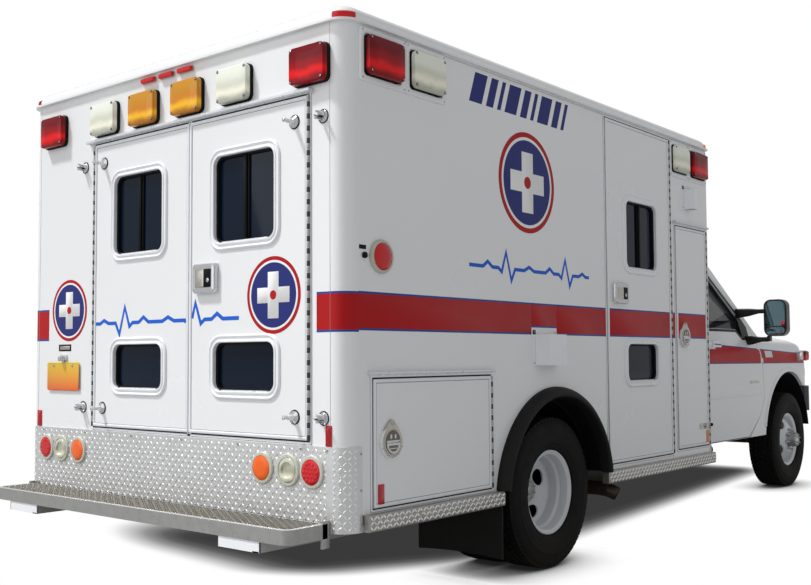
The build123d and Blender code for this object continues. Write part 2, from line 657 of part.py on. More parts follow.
def cab_form(inset, low):
    """The cab's outer form, drawn in by an inset and cut off below at low."""
    with BuildPart() as form:
        with BuildSketch(Plane.XZ):
            with BuildLine():
                Polyline(
                    (x_cab, low - 200), (x_cab, cab_roof - 60), (x_cab + 60, cab_roof),
                    (x_cab + screen_top[0] - 160, cab_roof), (x_cab + screen_top[0], screen_top[1]),
                    (x_cab + screen_base[0], screen_base[1]), (x_cab + foot_front, screen_base[1] - 68),
                    (x_cab + foot_front, low - 200), close=True)
            make_face()
            if inset:
                offset(amount=-inset, kind=Kind.INTERSECTION)
        extrude(amount=cab_half, both=True)
        add(side_core(inset), mode=Mode.INTERSECT)
        slab((x_cab - 10, x_cab + foot_front + 10), (-cab_half, cab_half), (low - 300, low), Mode.SUBTRACT)
    return form.part


# section across the cab, right half upward from the sill: half width, height, rounding
cab_section = (
    (962.0, 300.0, 40.0), (cab_half, 640.0, 600.0), (cab_half, cab_side_top, 200.0),
    (cab_shoulder_half, cab_shoulder_z, 110.0), (cab_roof_half, 1840.0, 110.0), (690.0, 1925.0, 150.0),
)


def side_core(inset):
    """The space between the cab's two sides under its roof, drawn in by an inset."""
    half = [(y, z) for y, z, rounding in cab_section]
    corners = half + [(0, cab_roof)] + [(-y, z) for y, z in half[::-1]]
    half_round = [max(rounding - inset, 5.0) for y, z, rounding in cab_section]
    roundings = half_round + [2500.0] + half_round[::-1]
    with BuildPart() as core:
        with BuildSketch(Plane.YZ.offset(x_cab - 20)):
            with BuildLine():
                FilletPolyline(*drawn_in(corners, inset), radius=roundings, close=True)
            make_face()
        extrude(amount=foot_front + 40)
    return core.part


# side outline of the cab door, x from the cab's back face; the front line falls to the sill
door_rear = 352.0
door_sill = 478.0
door_top = 1835.0
door_front = ((1374.0, 1262.0), (1444.0, 982.0), (1465.0, 786.0), (1367.0, 637.0), (1150.0, door_sill))
door_outline = (
    (door_rear, door_sill), (door_rear, door_top - 60), (door_rear + 60, door_top),
    (screen_top[0] - 60, door_top), (1290.0, 1385.0),
) + door_front
behind_door = ((0.0, 300.0), (0.0, 1400.0), (1352.0, 1400.0)) + door_front + ((1150.0, 300.0),)
ahead_of_door = door_front + ((1150.0, 300.0), (1700.0, 300.0), (1700.0, 1400.0), (1340.0, 1400.0))
pane_outline = (
    (door_rear + 60, 1325.0), (door_rear + 60, 1755.0), (door_rear + 85, 1785.0), (screen_top[0] - 68, 1785.0),
    (1180.0, 1410.0), (1255.0, 1330.0), (1262.0, 1262.0), (1130.0, 1262.0), (1040.0, 1325.0),
)


def shifted(points, grow=0.0):
    """An XZ face from points measured from the cab's back face."""
    with BuildSketch(Plane.XZ) as outline:
        with BuildLine():
            Polyline(*[(x_cab + x, z) for x, z in points], close=True)
        make_face()
        if grow:
            offset(amount=grow, kind=Kind.INTERSECTION)
    return outline.sketch


def cross_cut(sketch, side, y, mode):
    """Extrude an XZ sketch on one side between two distances from the centre line."""
    bounds = sorted((side * y[0], side * y[1]))
    moved = sketch.moved(Location((0, bounds[1], 0)))
    extrude(moved, amount=bounds[1] - bounds[0], dir=(0, -1, 0), mode=mode)


# sections of the front end: x from the front axle, side half width, side top, shoulder half width,
# shoulder height, crown edge half width, crown edge height, centre height
nose_sections = (
    (-905.0, cab_half, cab_side_top, cab_shoulder_half, cab_shoulder_z, 790.0, 1282.0, 1325.0),
    (-300.0, cab_half, cab_side_top, cab_shoulder_half, cab_shoulder_z - 2, 790.0, 1280.0, 1324.0),
    (200.0, cab_half - 3, 1115.0, 934.0, 1238.0, 789.0, 1270.0, 1318.0),
    (430.0, 962.0, 1095.0, 912.0, 1216.0, 786.0, 1250.0, 1304.0),
    (600.0, 918.0, 1060.0, 872.0, 1176.0, 778.0, 1215.0, 1275.0),
    (730.0, 862.0, 1015.0, 822.0, 1122.0, 758.0, 1162.0, 1220.0),
    (820.0, 800.0, 960.0, 765.0, 1050.0, 716.0, 1085.0, 1135.0),
)
nose_rounding = (5.0, 260.0, 70.0, 120.0)
hood_rounding = 900.0


def nose_form(inset, low):
    """The outer form of fenders and hood, drawn in by an inset and cut off below at low."""
    half_round = [max(rounding - inset, 5.0) for rounding in nose_rounding]
    with BuildPart() as form:
        for x, half, side_top, shoulder, shoulder_top, crown, crown_top, centre in nose_sections:
            right = [(half, low - inset), (half, side_top), (shoulder, shoulder_top), (crown, crown_top)]
            corners = right + [(0, centre)] + [(-y, z) for y, z in right[::-1]]
            with BuildSketch(Plane.YZ.offset(x_axle_f + x)):
                with BuildLine():
                    roundings = half_round + [hood_rounding] + half_round[::-1]
                    FilletPolyline(*drawn_in(corners, inset), radius=roundings, close=True)
                make_face()
        loft(ruled=True)
    return form.part


seam = 4.0

with BuildPart() as door_openings:
    for side in (-1, 1):
        cross_cut(shifted(door_outline, door_gap), side, (560, cab_half + 20), Mode.ADD)
    add(side_core(cab_door_depth + cab_wall_clear), mode=Mode.SUBTRACT)

with BuildPart() as fender_bed:
    for side in (-1, 1):
        cross_cut(shifted(ahead_of_door), side, (hood_half, cab_half + 20), Mode.ADD)
    add(nose_form(-1, 300), mode=Mode.INTERSECT)
    add(nose_form(fender_skin + seam, 200), mode=Mode.SUBTRACT)

screen_cut = ((-800, 1385), (800, 1385), (610, 1850), (-610, 1850))
screen_x = (x_cab + 700, x_cab + foot_front + 20)

with BuildPart() as cab_shell:
    add(cab_form(0, cab_low))
    add(cab_form(cab_skin, cab_floor), mode=Mode.SUBTRACT)
    slab((x_cab - 5, x_cab + foot_front + 5), (-830, 830), (cab_low - 5, cab_floor - 40), Mode.SUBTRACT)
    add(door_openings.part, mode=Mode.SUBTRACT)
    add(fender_bed.part, mode=Mode.SUBTRACT)
    prism_x(screen_cut, screen_x, Mode.SUBTRACT)
    slab((x_cab - 5, x_cab + cab_skin + 5), (-pass_half, pass_half), pass_z, Mode.SUBTRACT)
    disc_y(x_axle_f, wheel_z, front_arch_radius + 16, (-cab_half, cab_half), Mode.SUBTRACT)
    for mount_x in (x_cab + 200, x_cab + 1150):
        for side in (-1, 1):
            side_slab(side, (mount_x - 40, mount_x + 40), (rail_inner, rail_outer), (rail_high, cab_floor - 40))
save(cab_shell, "cab_shell")

with BuildPart() as windshield:
    prism_x(screen_cut, screen_x)
    add(cab_form(20, 1000), mode=Mode.INTERSECT)
    add(cab_form(20 + pane, 900), mode=Mode.SUBTRACT)
save(windshield, "windshield")

mirror_x = (1165.0, 1240.0)
mirror_z = (1268.0, 1556.0)
mirror_round = 55.0

for side, tag in sides:
    with BuildPart() as cab_door:
        cross_cut(shifted(door_outline), side, (560, cab_half + 20), Mode.ADD)
        add(side_core(0), mode=Mode.INTERSECT)
        add(side_core(cab_door_depth), mode=Mode.SUBTRACT)
        cross_cut(shifted(pane_outline), side, (560, cab_half + 20), Mode.SUBTRACT)
        rounded_x(sorted((side * (mirror_out - 175), side * mirror_out)), mirror_z,
                  (x_cab + mirror_x[0], x_cab + mirror_x[1]), mirror_round)
        side_slab(side, (x_cab + 1195, x_cab + 1235), (cab_half - 25, mirror_out - 140), (1228, 1260))
        side_slab(side, (x_cab + 1195, x_cab + 1235), (mirror_out - 165, mirror_out - 140), (1228, mirror_z[0] + 5))
        side_slab(side, (x_cab + 1152, x_cab + 1185), (900, mirror_out - 170), (1452, 1480))
        side_slab(side, (x_cab + door_rear + 50, x_cab + door_rear + 200), (cab_half - 5, cab_half + 22), (1180, 1225))
    save(cab_door, f"cab_{tag}_door")
    with BuildPart() as cab_glass:
        cross_cut(shifted(pane_outline), side, (560, cab_half + 20), Mode.ADD)
        add(side_core(27), mode=Mode.INTERSECT)
        add(side_core(27 + pane), mode=Mode.SUBTRACT)
    save(cab_glass, f"cab_{tag}_glass")

bumper_z = (bumper_low, 840.0)
hood_rear = x_cab + foot_front + 8.0
hood_front = x_axle_f + 812.0
fender_front_low = bumper_z[1] + 10.0

with BuildPart() as front_fenders:
    add(nose_form(0, cab_low))
    add(nose_form(fender_skin, 300), mode=Mode.SUBTRACT)
    slab((x_cab, x_nose), (-hood_half - door_gap, hood_half + door_gap), (cab_low - 5, 1400), Mode.SUBTRACT)
    for side in (-1, 1):
        disc_y(x_axle_f, wheel_z, front_arch_radius + 12, sorted((side * 560, side * (cab_half - 12))))
        disc_y(x_axle_f, wheel_z, front_arch_radius, sorted((side * 550, side * (cab_half + 10))), Mode.SUBTRACT)
        cross_cut(shifted(behind_door, door_gap), side, (400, cab_half + 20), Mode.SUBTRACT)
    slab((x_axle_f - 950, x_axle_f + 700), (-cab_half, cab_half), (-300, cab_low), Mode.SUBTRACT)
    slab((x_axle_f, x_nose), (-cab_half - 5, cab_half + 5), (-300, fender_front_low), Mode.SUBTRACT)
    slab((x_axle_f + 640, x_axle_f + 690), (-hood_half - 80, hood_half + 80), (rail_high + seam, 1050))
    slab((x_axle_f + 630, x_axle_f + 700), (-380, 380), (rail_high + 60, 980), Mode.SUBTRACT)
save(front_fenders, "front_fenders")

with BuildPart() as hood:
    add(nose_form(0, cab_floor))
    add(nose_form(hood_skin, cab_low), mode=Mode.SUBTRACT)
    slab((hood_rear, hood_front), (-hood_half, hood_half), (1080, 1400), Mode.INTERSECT)
save(hood, "hood")

grille_half = 470.0
lamp_half = (500.0, 765.0)
lamp_z = (880.0, 1045.0)
grille_z = (862.0, 1075.0)
bumper_thick = 40.0
# outer corners of the bumper: distance behind its front face, half width
bumper_corners = ((0.0, 620.0), (70.0, 800.0), (210.0, 903.0), (390.0, 960.0))

with BuildPart() as grille_and_bumper:
    slab((x_axle_f + 822, x_axle_f + 862), (-grille_half, grille_half), grille_z)
    for index in range(3):
        bar_z = grille_z[0] + 28 + index * 60
        slab((x_axle_f + 840, x_axle_f + 863), (-grille_half + 25, grille_half - 25), (bar_z, bar_z + 36),
             Mode.SUBTRACT)
    for side in (-1, 1):
        rounded_x(sorted((side * lamp_half[0], side * lamp_half[1])), lamp_z, (x_axle_f + 822, x_axle_f + 850), 35)
    slab((x_axle_f + 800, x_axle_f + 822), (-765, 765), (640, 1000))
    with BuildSketch(Plane.XY.offset(bumper_z[0])) as bumper_plan:
        with BuildLine():
            outer = [(x_nose - back, half) for back, half in bumper_corners]
            inner = [(x - bumper_thick, y - bumper_thick / 2) for x, y in outer[-2::-1]]
            inner = [(outer[-1][0], outer[-1][1] - bumper_thick)] + inner
            loop = outer + inner
            Polyline(*loop, *[(x, -y) for x, y in loop[::-1]], close=True)
        make_face()
    extrude(bumper_plan.sketch, amount=bumper_z[1] - bumper_z[0])
    for side in (-1, 1):
        side_slab(side, (x_rail_front, x_nose - bumper_thick + 5), (rail_inner, rail_outer), (520, 640))
save(grille_and_bumper, "grille_and_bumper")

# ================================================================ seats and dashboard
# seats: x centre, y centre, seat height, half length, half width, back height, facing
seat_table = (
    (x_cab + 560.0, 430.0, 1080.0, 250.0, 250.0, 1640.0, 1),
    (x_cab + 560.0, -430.0, 1080.0, 250.0, 250.0, 1640.0, 1),
    (x_in_front - 330.0, 0.0, 1180.0, 240.0, 240.0, 1800.0, -1),
)

with BuildPart() as seats:
    for x, y, height, half_l, half_w, back, facing in seat_table:
        slab((x - half_l, x + half_l), (y - half_w, y + half_w), (height - 130, height))
        base = cab_floor if facing > 0 else floor_top
        slab((x - half_l + 60, x + half_l - 60), (y - half_w + 60, y + half_w - 60), (base, height - 130))
        back_x = sorted((x - facing * half_l, x - facing * (half_l - 120)))
        slab(back_x, (y - half_w, y + half_w), (height - 130, back))
    slab(bench_x, (-1080, -bench_y[0]), (bench_top, bench_top + 80))
    slab(bench_x, (-y_inner, -1080), (bench_top + 160, bench_top + 480))
save(seats, "seats")

helm = (x_cab + 990.0, 430.0, 1235.0)

with BuildPart() as dashboard:
    dash_half = cab_half - cab_skin - 75
    slab((x_cab + 1130, x_cab + foot_front - cab_skin - 60), (-dash_half, dash_half), (980, 1200))
    helm_plane = Plane(origin=helm, x_dir=(0, 1, 0), z_dir=(-cos(radians(30)), 0, sin(radians(30))))
    with BuildSketch(helm_plane) as helm_rim:
        Circle(195)
        Circle(163, mode=Mode.SUBTRACT)
        Rectangle(340, 34)
        Circle(60)
    extrude(helm_rim.sketch, amount=26)
    with BuildSketch(helm_plane) as column:
        Circle(32)
    extrude(column.sketch, amount=-230)
save(dashboard, "dashboard")

# ================================================================ wheels
tyre_section = (
    (tyre_bore_radius, 80.0), (rim_flange_radius + 1, 80.0), (rim_flange_radius + 6, 101.0),
    (300.0, tyre_half_width), (368.0, 111.0), (392.0, 98.0), (tyre_radius, 84.0),
)
hand_holes = 4
hand_hole_half = (50.0, 32.0)
front_hole_circle = 150.0
rear_hole_circle = 128.0
hub_radius = 62.0
disc_edge = rim_barrel_radius - 8.0
disc_seat = rim_barrel_radius - 4.0
# sections of the wheel discs: distance out from the disc's face, radius
front_disc_section = (
    (-30.0, disc_edge), (0.0, 150.0), (12.0, 105.0), (12.0, 30.0), (-8.0, 30.0), (-8.0, 100.0),
    (-24.0, 148.0), (-52.0, disc_edge),
)
rear_disc_section = (
    (52.0, disc_edge), (12.0, 158.0), (8.0, 30.0), (-8.0, 30.0), (-12.0, 158.0), (-52.0, disc_edge),
    (-62.0, disc_edge), (-62.0, disc_seat), (62.0, disc_seat), (62.0, disc_edge),
)


def tyre(centre_x, centre_y):
    """A tyre around the Y axis."""
    with BuildSketch(Plane.YZ) as section:
        with BuildLine():
            near = [(centre_y + half, wheel_z + r) for r, half in tyre_section]
            far = [(centre_y - half, wheel_z + r) for r, half in tyre_section[::-1]]
            Polyline(*near, *far, close=True)
        make_face()
    ring = revolve(section.sketch.moved(Location((centre_x, 0, 0))),
                   axis=Axis((centre_x, 0, wheel_z), (0, 1, 0)), mode=Mode.PRIVATE)
    add(ring)


def spun(centre_x, outline):
    """A ring made by spinning (distance out, radius) points about the wheel's axis."""
    with BuildSketch(Plane.YZ) as section:
        with BuildLine():
            Polyline(*[(y, wheel_z + r) for y, r in outline], close=True)
        make_face()
    ring = revolve(section.sketch.moved(Location((centre_x, 0, 0))),
                   axis=Axis((centre_x, 0, wheel_z), (0, 1, 0)), mode=Mode.PRIVATE)
    add(ring)


def barrel(centre_x, centre_y):
    """Rim barrel with its two flanges."""
    spun(centre_x, (
        (centre_y - rim_half_width, rim_flange_radius), (centre_y - 81, rim_flange_radius),
        (centre_y - 81, rim_barrel_radius), (centre_y + 81, rim_barrel_radius),
        (centre_y + 81, rim_flange_radius), (centre_y + rim_half_width, rim_flange_radius),
        (centre_y + rim_half_width, rim_barrel_radius - 6), (centre_y + 60, rim_barrel_radius - 12),
        (centre_y - 60, rim_barrel_radius - 12), (centre_y - rim_half_width, rim_barrel_radius - 6),
    ))


def holes(centre_x, y, circle):
    """Oval hand holes through a wheel disc, along Y, evenly placed on a circle."""
    with BuildSketch(Plane(origin=(centre_x, y[1], wheel_z), x_dir=(1, 0, 0), z_dir=(0, -1, 0))) as ovals:
        with PolarLocations(circle, hand_holes, start_angle=45):
            Ellipse(hand_hole_half[1], hand_hole_half[0])
    extrude(ovals.sketch, amount=y[1] - y[0], mode=Mode.SUBTRACT)


for side, tag in sides:
    with BuildPart() as front_tyre:
        tyre(x_axle_f, side * front_wheel_y)
    save(front_tyre, f"front_{tag}_tyre")

    with BuildPart() as front_rim:
        barrel(x_axle_f, side * front_wheel_y)
        face = front_wheel_y + 78
        spun(x_axle_f, [(side * (face + out), r) for out, r in front_disc_section])
        holes(x_axle_f, sorted((side * (face - 60), side * (face + 30))), front_hole_circle)
        disc_y(x_axle_f, wheel_z, hub_radius, sorted((side * (face - 80), side * (face + 55))))
        disc_y(x_axle_f, wheel_z, spindle_radius + running_clearance,
               sorted((side * (face - 85), side * (face + 20))), Mode.SUBTRACT)
    save(front_rim, f"front_{tag}_rim")

    with BuildPart() as rear_tyres:
        tyre(x_axle_r, side * (dual_mid_y - dual_spacing / 2))
        tyre(x_axle_r, side * (dual_mid_y + dual_spacing / 2))
    save(rear_tyres, f"rear_{tag}_tyres")

    with BuildPart() as rear_rims:
        for offset_y in (-dual_spacing / 2, dual_spacing / 2):
            barrel(x_axle_r, side * (dual_mid_y + offset_y))
        disc = dual_mid_y
        spun(x_axle_r, [(side * (disc + out), r) for out, r in rear_disc_section])
        holes(x_axle_r, sorted((side * (disc - 90), side * (disc + 90))), rear_hole_circle)
        disc_y(x_axle_r, wheel_z, hub_radius, sorted((side * (disc - 240), side * (disc + 110))))
        disc_y(x_axle_r, wheel_z, axle_end_radius + running_clearance,
               sorted((side * (disc - 245), side * (disc + 85))), Mode.SUBTRACT)
    save(rear_rims, f"rear_{tag}_rims")

    with BuildPart() as knuckle:
        lug_gap = 4.0
        lug = (beam_half + lug_gap, beam_half + lug_gap + 42)
        for end in (-1, 1):
            lug_z = sorted((wheel_z + end * lug[0], wheel_z + end * lug[1]))
            post(x_axle_f, side * kingpin_y, 42, lug_z)
            side_slab(side, (x_axle_f - 42, x_axle_f + 42), (kingpin_y, kingpin_y + 68), lug_z)
        side_slab(side, (x_axle_f - 42, x_axle_f + 42), (kingpin_y + 50, kingpin_y + 68),
                  (wheel_z - lug[1], wheel_z + lug[1]))
        disc_y(x_axle_f, wheel_z, spindle_radius,
               sorted((side * (kingpin_y + 50), side * (front_wheel_y + 90))))
        post(x_axle_f, side * kingpin_y, kingpin_radius + running_clearance,
             (wheel_z - 200, wheel_z + 200), Mode.SUBTRACT)
    save(knuckle, f"{tag}_knuckle")
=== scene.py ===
from math import asin, atan2, cos, pi, radians, sin

import bmesh
import bpy
from mathutils import Matrix, Vector
from mathutils.bvhtree import BVHTree


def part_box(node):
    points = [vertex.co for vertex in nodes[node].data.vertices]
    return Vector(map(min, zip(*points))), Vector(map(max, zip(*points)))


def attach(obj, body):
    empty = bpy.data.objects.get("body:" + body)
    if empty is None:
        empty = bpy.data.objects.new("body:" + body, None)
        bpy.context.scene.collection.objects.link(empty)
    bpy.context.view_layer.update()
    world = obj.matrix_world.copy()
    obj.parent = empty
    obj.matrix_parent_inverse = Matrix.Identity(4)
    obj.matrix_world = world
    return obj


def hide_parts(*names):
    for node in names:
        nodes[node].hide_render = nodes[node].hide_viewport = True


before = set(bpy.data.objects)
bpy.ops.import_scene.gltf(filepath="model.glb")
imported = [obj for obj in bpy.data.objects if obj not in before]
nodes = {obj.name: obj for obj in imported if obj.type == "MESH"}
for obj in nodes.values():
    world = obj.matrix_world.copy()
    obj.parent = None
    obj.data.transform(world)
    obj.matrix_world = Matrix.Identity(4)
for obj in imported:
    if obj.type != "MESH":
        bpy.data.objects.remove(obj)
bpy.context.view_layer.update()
scene = bpy.context.scene


# ---------------------------------------------------------------- places read from the CAD pieces
def low(node):
    """The low corner of a CAD node's box."""
    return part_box(node)[0]


def high(node):
    """The high corner of a CAD node's box."""
    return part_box(node)[1]


def middle(node):
    """The middle of a CAD node's box."""
    return (low(node) + high(node)) / 2


REAR = low("module_right_wall").x
FRONT = high("module_right_wall").x
HALF = high("module_left_wall").y
SKIRT = low("module_right_wall").z
ROOF = high("module_roof").z
CAB = low("cab_shell").x
CAB_FOOT = 1.484  # from the back of the cab to the foot of the windscreen
NOSE = high("grille_and_bumper").x
TAIL = low("step_and_plates").x
AXLE_R = middle("rear_right_rims").x
AXLE_F = middle("front_right_rim").x
WHEEL_Z = middle("front_right_tyre").z
TYRE_R = WHEEL_Z
CORNER = .085


# ---------------------------------------------------------------- colours
def srgb(red, green, blue):
    """Linear colour from 0-255 screen values."""
    def linear(value):
        value /= 255
        return value / 12.92 if value <= .04045 else ((value + .055) / 1.055) ** 2.4
    return (linear(red), linear(green), linear(blue), 1)


def shade(colour, factor):
    """A colour made darker or lighter by a factor."""
    return tuple(min(1, c * factor) for c in colour[:3]) + (1,)


# ---------------------------------------------------------------- short ways to wire shader nodes
def feed(tree, socket, value):
    """Links an output to a socket, or sets the socket to a plain value."""
    if isinstance(value, bpy.types.NodeSocket):
        tree.links.new(value, socket)
    else:
        socket.default_value = value


def maths(tree, operation, *values):
    """The result of a maths node fed with outputs or plain numbers."""
    node = tree.nodes.new("ShaderNodeMath")
    node.operation = operation
    for socket, value in zip(node.inputs, values):
        feed(tree, socket, value)
    return node.outputs[0]


def blended(tree, factor, first, second):
    """Two colours mixed by a factor."""
    node = tree.nodes.new("ShaderNodeMix")
    node.data_type = "RGBA"
    for index, value in ((0, factor), (6, first), (7, second)):
        feed(tree, node.inputs[index], value)
    return node.outputs[2]


def noise_of(tree, place, scale, detail):
    """Noise in the object's own space."""
    node = tree.nodes.new("ShaderNodeTexNoise")
    node.inputs["Scale"].default_value = scale
    node.inputs["Detail"].default_value = detail
    tree.links.new(place.outputs["Object"], node.inputs["Vector"])
    return node.outputs["Fac"]


def relief_of(tree, height, strength):
    """Links a fine relief, a millimetre deep, to the shader's normal."""
    node = tree.nodes.new("ShaderNodeBump")
    node.inputs["Strength"].default_value = strength
    node.inputs["Distance"].default_value = .001
    tree.links.new(height, node.inputs["Height"])
    tree.links.new(node.outputs[0], tree.nodes["Principled BSDF"].inputs["Normal"])


def parts_of(tree, point):
    """The x, y and z of a point."""
    node = tree.nodes.new("ShaderNodeSeparateXYZ")
    tree.links.new(point, node.inputs[0])
    return node.outputs


def swap_base(tree, factor, colour):
    """Swaps the shader's base colour for a plain one where the factor is 1."""
    base = tree.nodes["Principled BSDF"].inputs["Base Color"]
    tree.links.new(blended(tree, factor, base.links[0].from_socket, colour), base)


# ---------------------------------------------------------------- materials
NOISE_RANGE = (.3, .7)  # the span of noise values that is stretched to a full range
DUST_PATCHES = (9, 6)  # scale and detail of the noise that breaks up the dust
# the lens colour bands are painted light: painted shade at the top and a painted highlight low down
LENS_SWAY = .22  # how far noise shifts a lens's colour bands, in shares of its height
LENS_PRISMS = 130  # cells of the prism pattern to the metre


def surface(name, colour, rough, metal=0, coat=0, grain=30, vary=.06, rough_vary=.05, bump=0,
            bump_scale=400, dust=None, dust_height=None, dust_amount=.5, sheen=0, alpha=None, shine=.5):
    """A shader whose colour, roughness and fine relief all come from noise in the object's own space."""
    mat = bpy.data.materials.new(name)
    mat.use_nodes = True
    tree = mat.node_tree
    shader = tree.nodes["Principled BSDF"]
    shader.inputs["Metallic"].default_value = metal
    shader.inputs["Coat Weight"].default_value = coat
    shader.inputs["Coat Roughness"].default_value = .06
    shader.inputs["Specular IOR Level"].default_value = shine
    shader.inputs["Sheen Weight"].default_value = sheen
    if alpha is not None:
        shader.inputs["Alpha"].default_value = alpha
    place = tree.nodes.new("ShaderNodeTexCoord")

    def ranged(value, start, end, out_start, out_end):
        node = tree.nodes.new("ShaderNodeMapRange")
        for index, number in zip((1, 2, 3, 4), (start, end, out_start, out_end)):
            node.inputs[index].default_value = number
        tree.links.new(value, node.inputs[0])
        return node.outputs[0]

    base = blended(tree, noise_of(tree, place, grain, 3), shade(colour, 1 - vary), shade(colour, 1 + vary))
    if dust:
        height = parts_of(tree, place.outputs["Object"])[2]
        near_ground = ranged(height, dust_height[0], dust_height[1], dust_amount, 0)
        patches = ranged(noise_of(tree, place, *DUST_PATCHES), *NOISE_RANGE, .4, 1)
        base = blended(tree, maths(tree, "MULTIPLY", near_ground, patches), base, dust)
    tree.links.new(base, shader.inputs["Base Color"])
    worn = ranged(noise_of(tree, place, grain * .7, 4), *NOISE_RANGE, max(.02, rough - rough_vary),
                  rough + rough_vary)
    tree.links.new(worn, shader.inputs["Roughness"])
    if bump:
        relief_of(tree, noise_of(tree, place, bump_scale, 2), bump)
    return mat


def lens(name, top, bottom, painted_glint, coat=.35, shine=.3):
    """Lamp lens: prismed plastic, with painted shade that makes it deeper above and a painted highlight band
    that makes its lower half brighter.
    """
    mat = surface(name, top, .2, coat=coat, vary=.02, shine=shine)
    tree = mat.node_tree
    place = tree.nodes.new("ShaderNodeTexCoord")
    level = parts_of(tree, place.outputs["Generated"])[2]
    ramp = tree.nodes.new("ShaderNodeValToRGB")
    ramp.color_ramp.interpolation = "EASE"
    stops = ramp.color_ramp.elements
    stops[0].position, stops[0].color = .08, shade(bottom, .7)
    stops[1].position, stops[1].color = .75, top
    # painted highlight: a bright band low in the lens
    painted_glint_stop = stops.new(.28)
    painted_glint_stop.color = painted_glint
    low_half = stops.new(.48)
    low_half.color = bottom
    wobble = noise_of(tree, place, 14, 2)
    swayed = maths(tree, "MULTIPLY_ADD", wobble, LENS_SWAY, maths(tree, "SUBTRACT", level, LENS_SWAY / 2))
    tree.links.new(swayed, ramp.inputs["Fac"])
    tree.links.new(ramp.outputs[0], tree.nodes["Principled BSDF"].inputs["Base Color"])
    prism = tree.nodes.new("ShaderNodeTexVoronoi")
    prism.inputs["Scale"].default_value = LENS_PRISMS
    prism.inputs["Randomness"].default_value = 0
    tree.links.new(place.outputs["Object"], prism.inputs["Vector"])
    relief_of(tree, prism.outputs["Distance"], .12)
    return mat


WHITE = srgb(236, 237, 238)
DIRT = srgb(120, 105, 84)
paint = surface("white_paint", WHITE, .25, coat=.25, grain=2.5, vary=.012, rough_vary=.03, bump=.012,
                bump_scale=900, shine=.35)
frame_paint = surface("white_frame", srgb(238, 240, 243), .3, grain=12, vary=.02, bump=.02, shine=.4)
stripe_red = surface("stripe_red", srgb(176, 14, 20), .4, grain=3, vary=.03, shine=.2)
stripe_blue = surface("stripe_blue", srgb(30, 72, 150), .4, grain=3, vary=.03, shine=.2)
word_blue = surface("word_blue", srgb(24, 96, 206), .4, grain=3, vary=.03, shine=.2)
deep_blue = surface("deep_blue", srgb(36, 46, 116), .4, grain=3, vary=.03, shine=.2)
decal_white = surface("decal_white", srgb(240, 240, 240), .35, grain=5, vary=.02, shine=.3)
black = surface("black_rubber", srgb(17, 17, 18), .62, grain=60, vary=.12, bump=.25, bump_scale=700,
                dust=DIRT, dust_height=(.1, .9), dust_amount=.05, shine=.25)
seal = surface("seal_black", srgb(9, 9, 10), .7, grain=80, vary=.1, bump=.1, shine=.2)
plastic = surface("black_plastic", srgb(22, 22, 24), .45, grain=80, vary=.1, bump=.15, bump_scale=1200,
                  shine=.3)
chassis = surface("chassis_black", srgb(30, 29, 28), .55, grain=20, vary=.15, bump=.2, bump_scale=300,
                  dust=DIRT, dust_height=(.1, .8), dust_amount=.25, shine=.3)
chrome = surface("chrome", srgb(206, 208, 210), .10, metal=.7, grain=40, vary=.02, rough_vary=.03)
steel = surface("brushed_steel", srgb(196, 192, 184), .3, metal=1, grain=60, vary=.06, rough_vary=.08,
                bump=.06)
# also used as a painted highlight along the rear step's top edge
alloy = surface("bright_alloy_and_highlight", srgb(236, 234, 230), .24, metal=.65, grain=40, vary=.05, rough_vary=.08,
                bump=.04)
tread = surface("tread_plate", srgb(214, 213, 210), .36, metal=.7, grain=9, vary=.1, rough_vary=.1, bump=.05,
                bump_scale=500, dust=srgb(140, 132, 120), dust_height=(.36, .8), dust_amount=.14)
kick_alloy = surface("kick_plate_alloy", srgb(217, 218, 219), .34, metal=.62, grain=9, vary=.08,
                     rough_vary=.1, bump=.05, bump_scale=500, dust=srgb(150, 142, 130), dust_height=(.36, .8),
                     dust_amount=.05)
# the rub rails' tread plate is a darker copy of the other tread plate: painted shade of the sides, plus more
# dust
rail_tread_dust_and_shade = surface("rail_tread_plate", srgb(172, 170, 166), .36, metal=.7, grain=9, vary=.12, rough_vary=.1,
                     bump=.05, bump_scale=500, dust=srgb(128, 120, 108), dust_height=(.36, .8),
                     dust_amount=.2)
step_alloy = surface("step_alloy", srgb(168, 168, 166), .34, metal=.7, grain=30, vary=.12, rough_vary=.1,
                     bump=.08)
grate_alloy = surface("grate_alloy", srgb(182, 178, 170), .4, metal=.7, grain=30, vary=.15, rough_vary=.1)
# the raised bars of every tread plate are much lighter than the plate: a painted highlight on them
tread_bar_highlight = surface("tread_bars", srgb(244, 243, 240), .26, metal=.75, grain=40, vary=.05, rough_vary=.08)
rail_alloy = surface("drip_alloy", srgb(224, 226, 229), .30, metal=.35, grain=30, vary=.03)
seam_grey = surface("seam_grey", srgb(120, 122, 124), .5, grain=30, vary=.05)
# darker steel for the latches' bowls, ring insides and key slots: painted shade of these hollows
recess_shade_steel = surface("recess_shade_steel", srgb(112, 106, 98), .32, metal=.6, grain=40, vary=.1)
bumper_metal = surface("bumper_metal", srgb(206, 207, 209), .12, metal=.6, grain=12, vary=.02, rough_vary=.04)
hinge_bright = surface("hinge_bright", srgb(172, 172, 170), .4, metal=.6, grain=90, vary=.15)
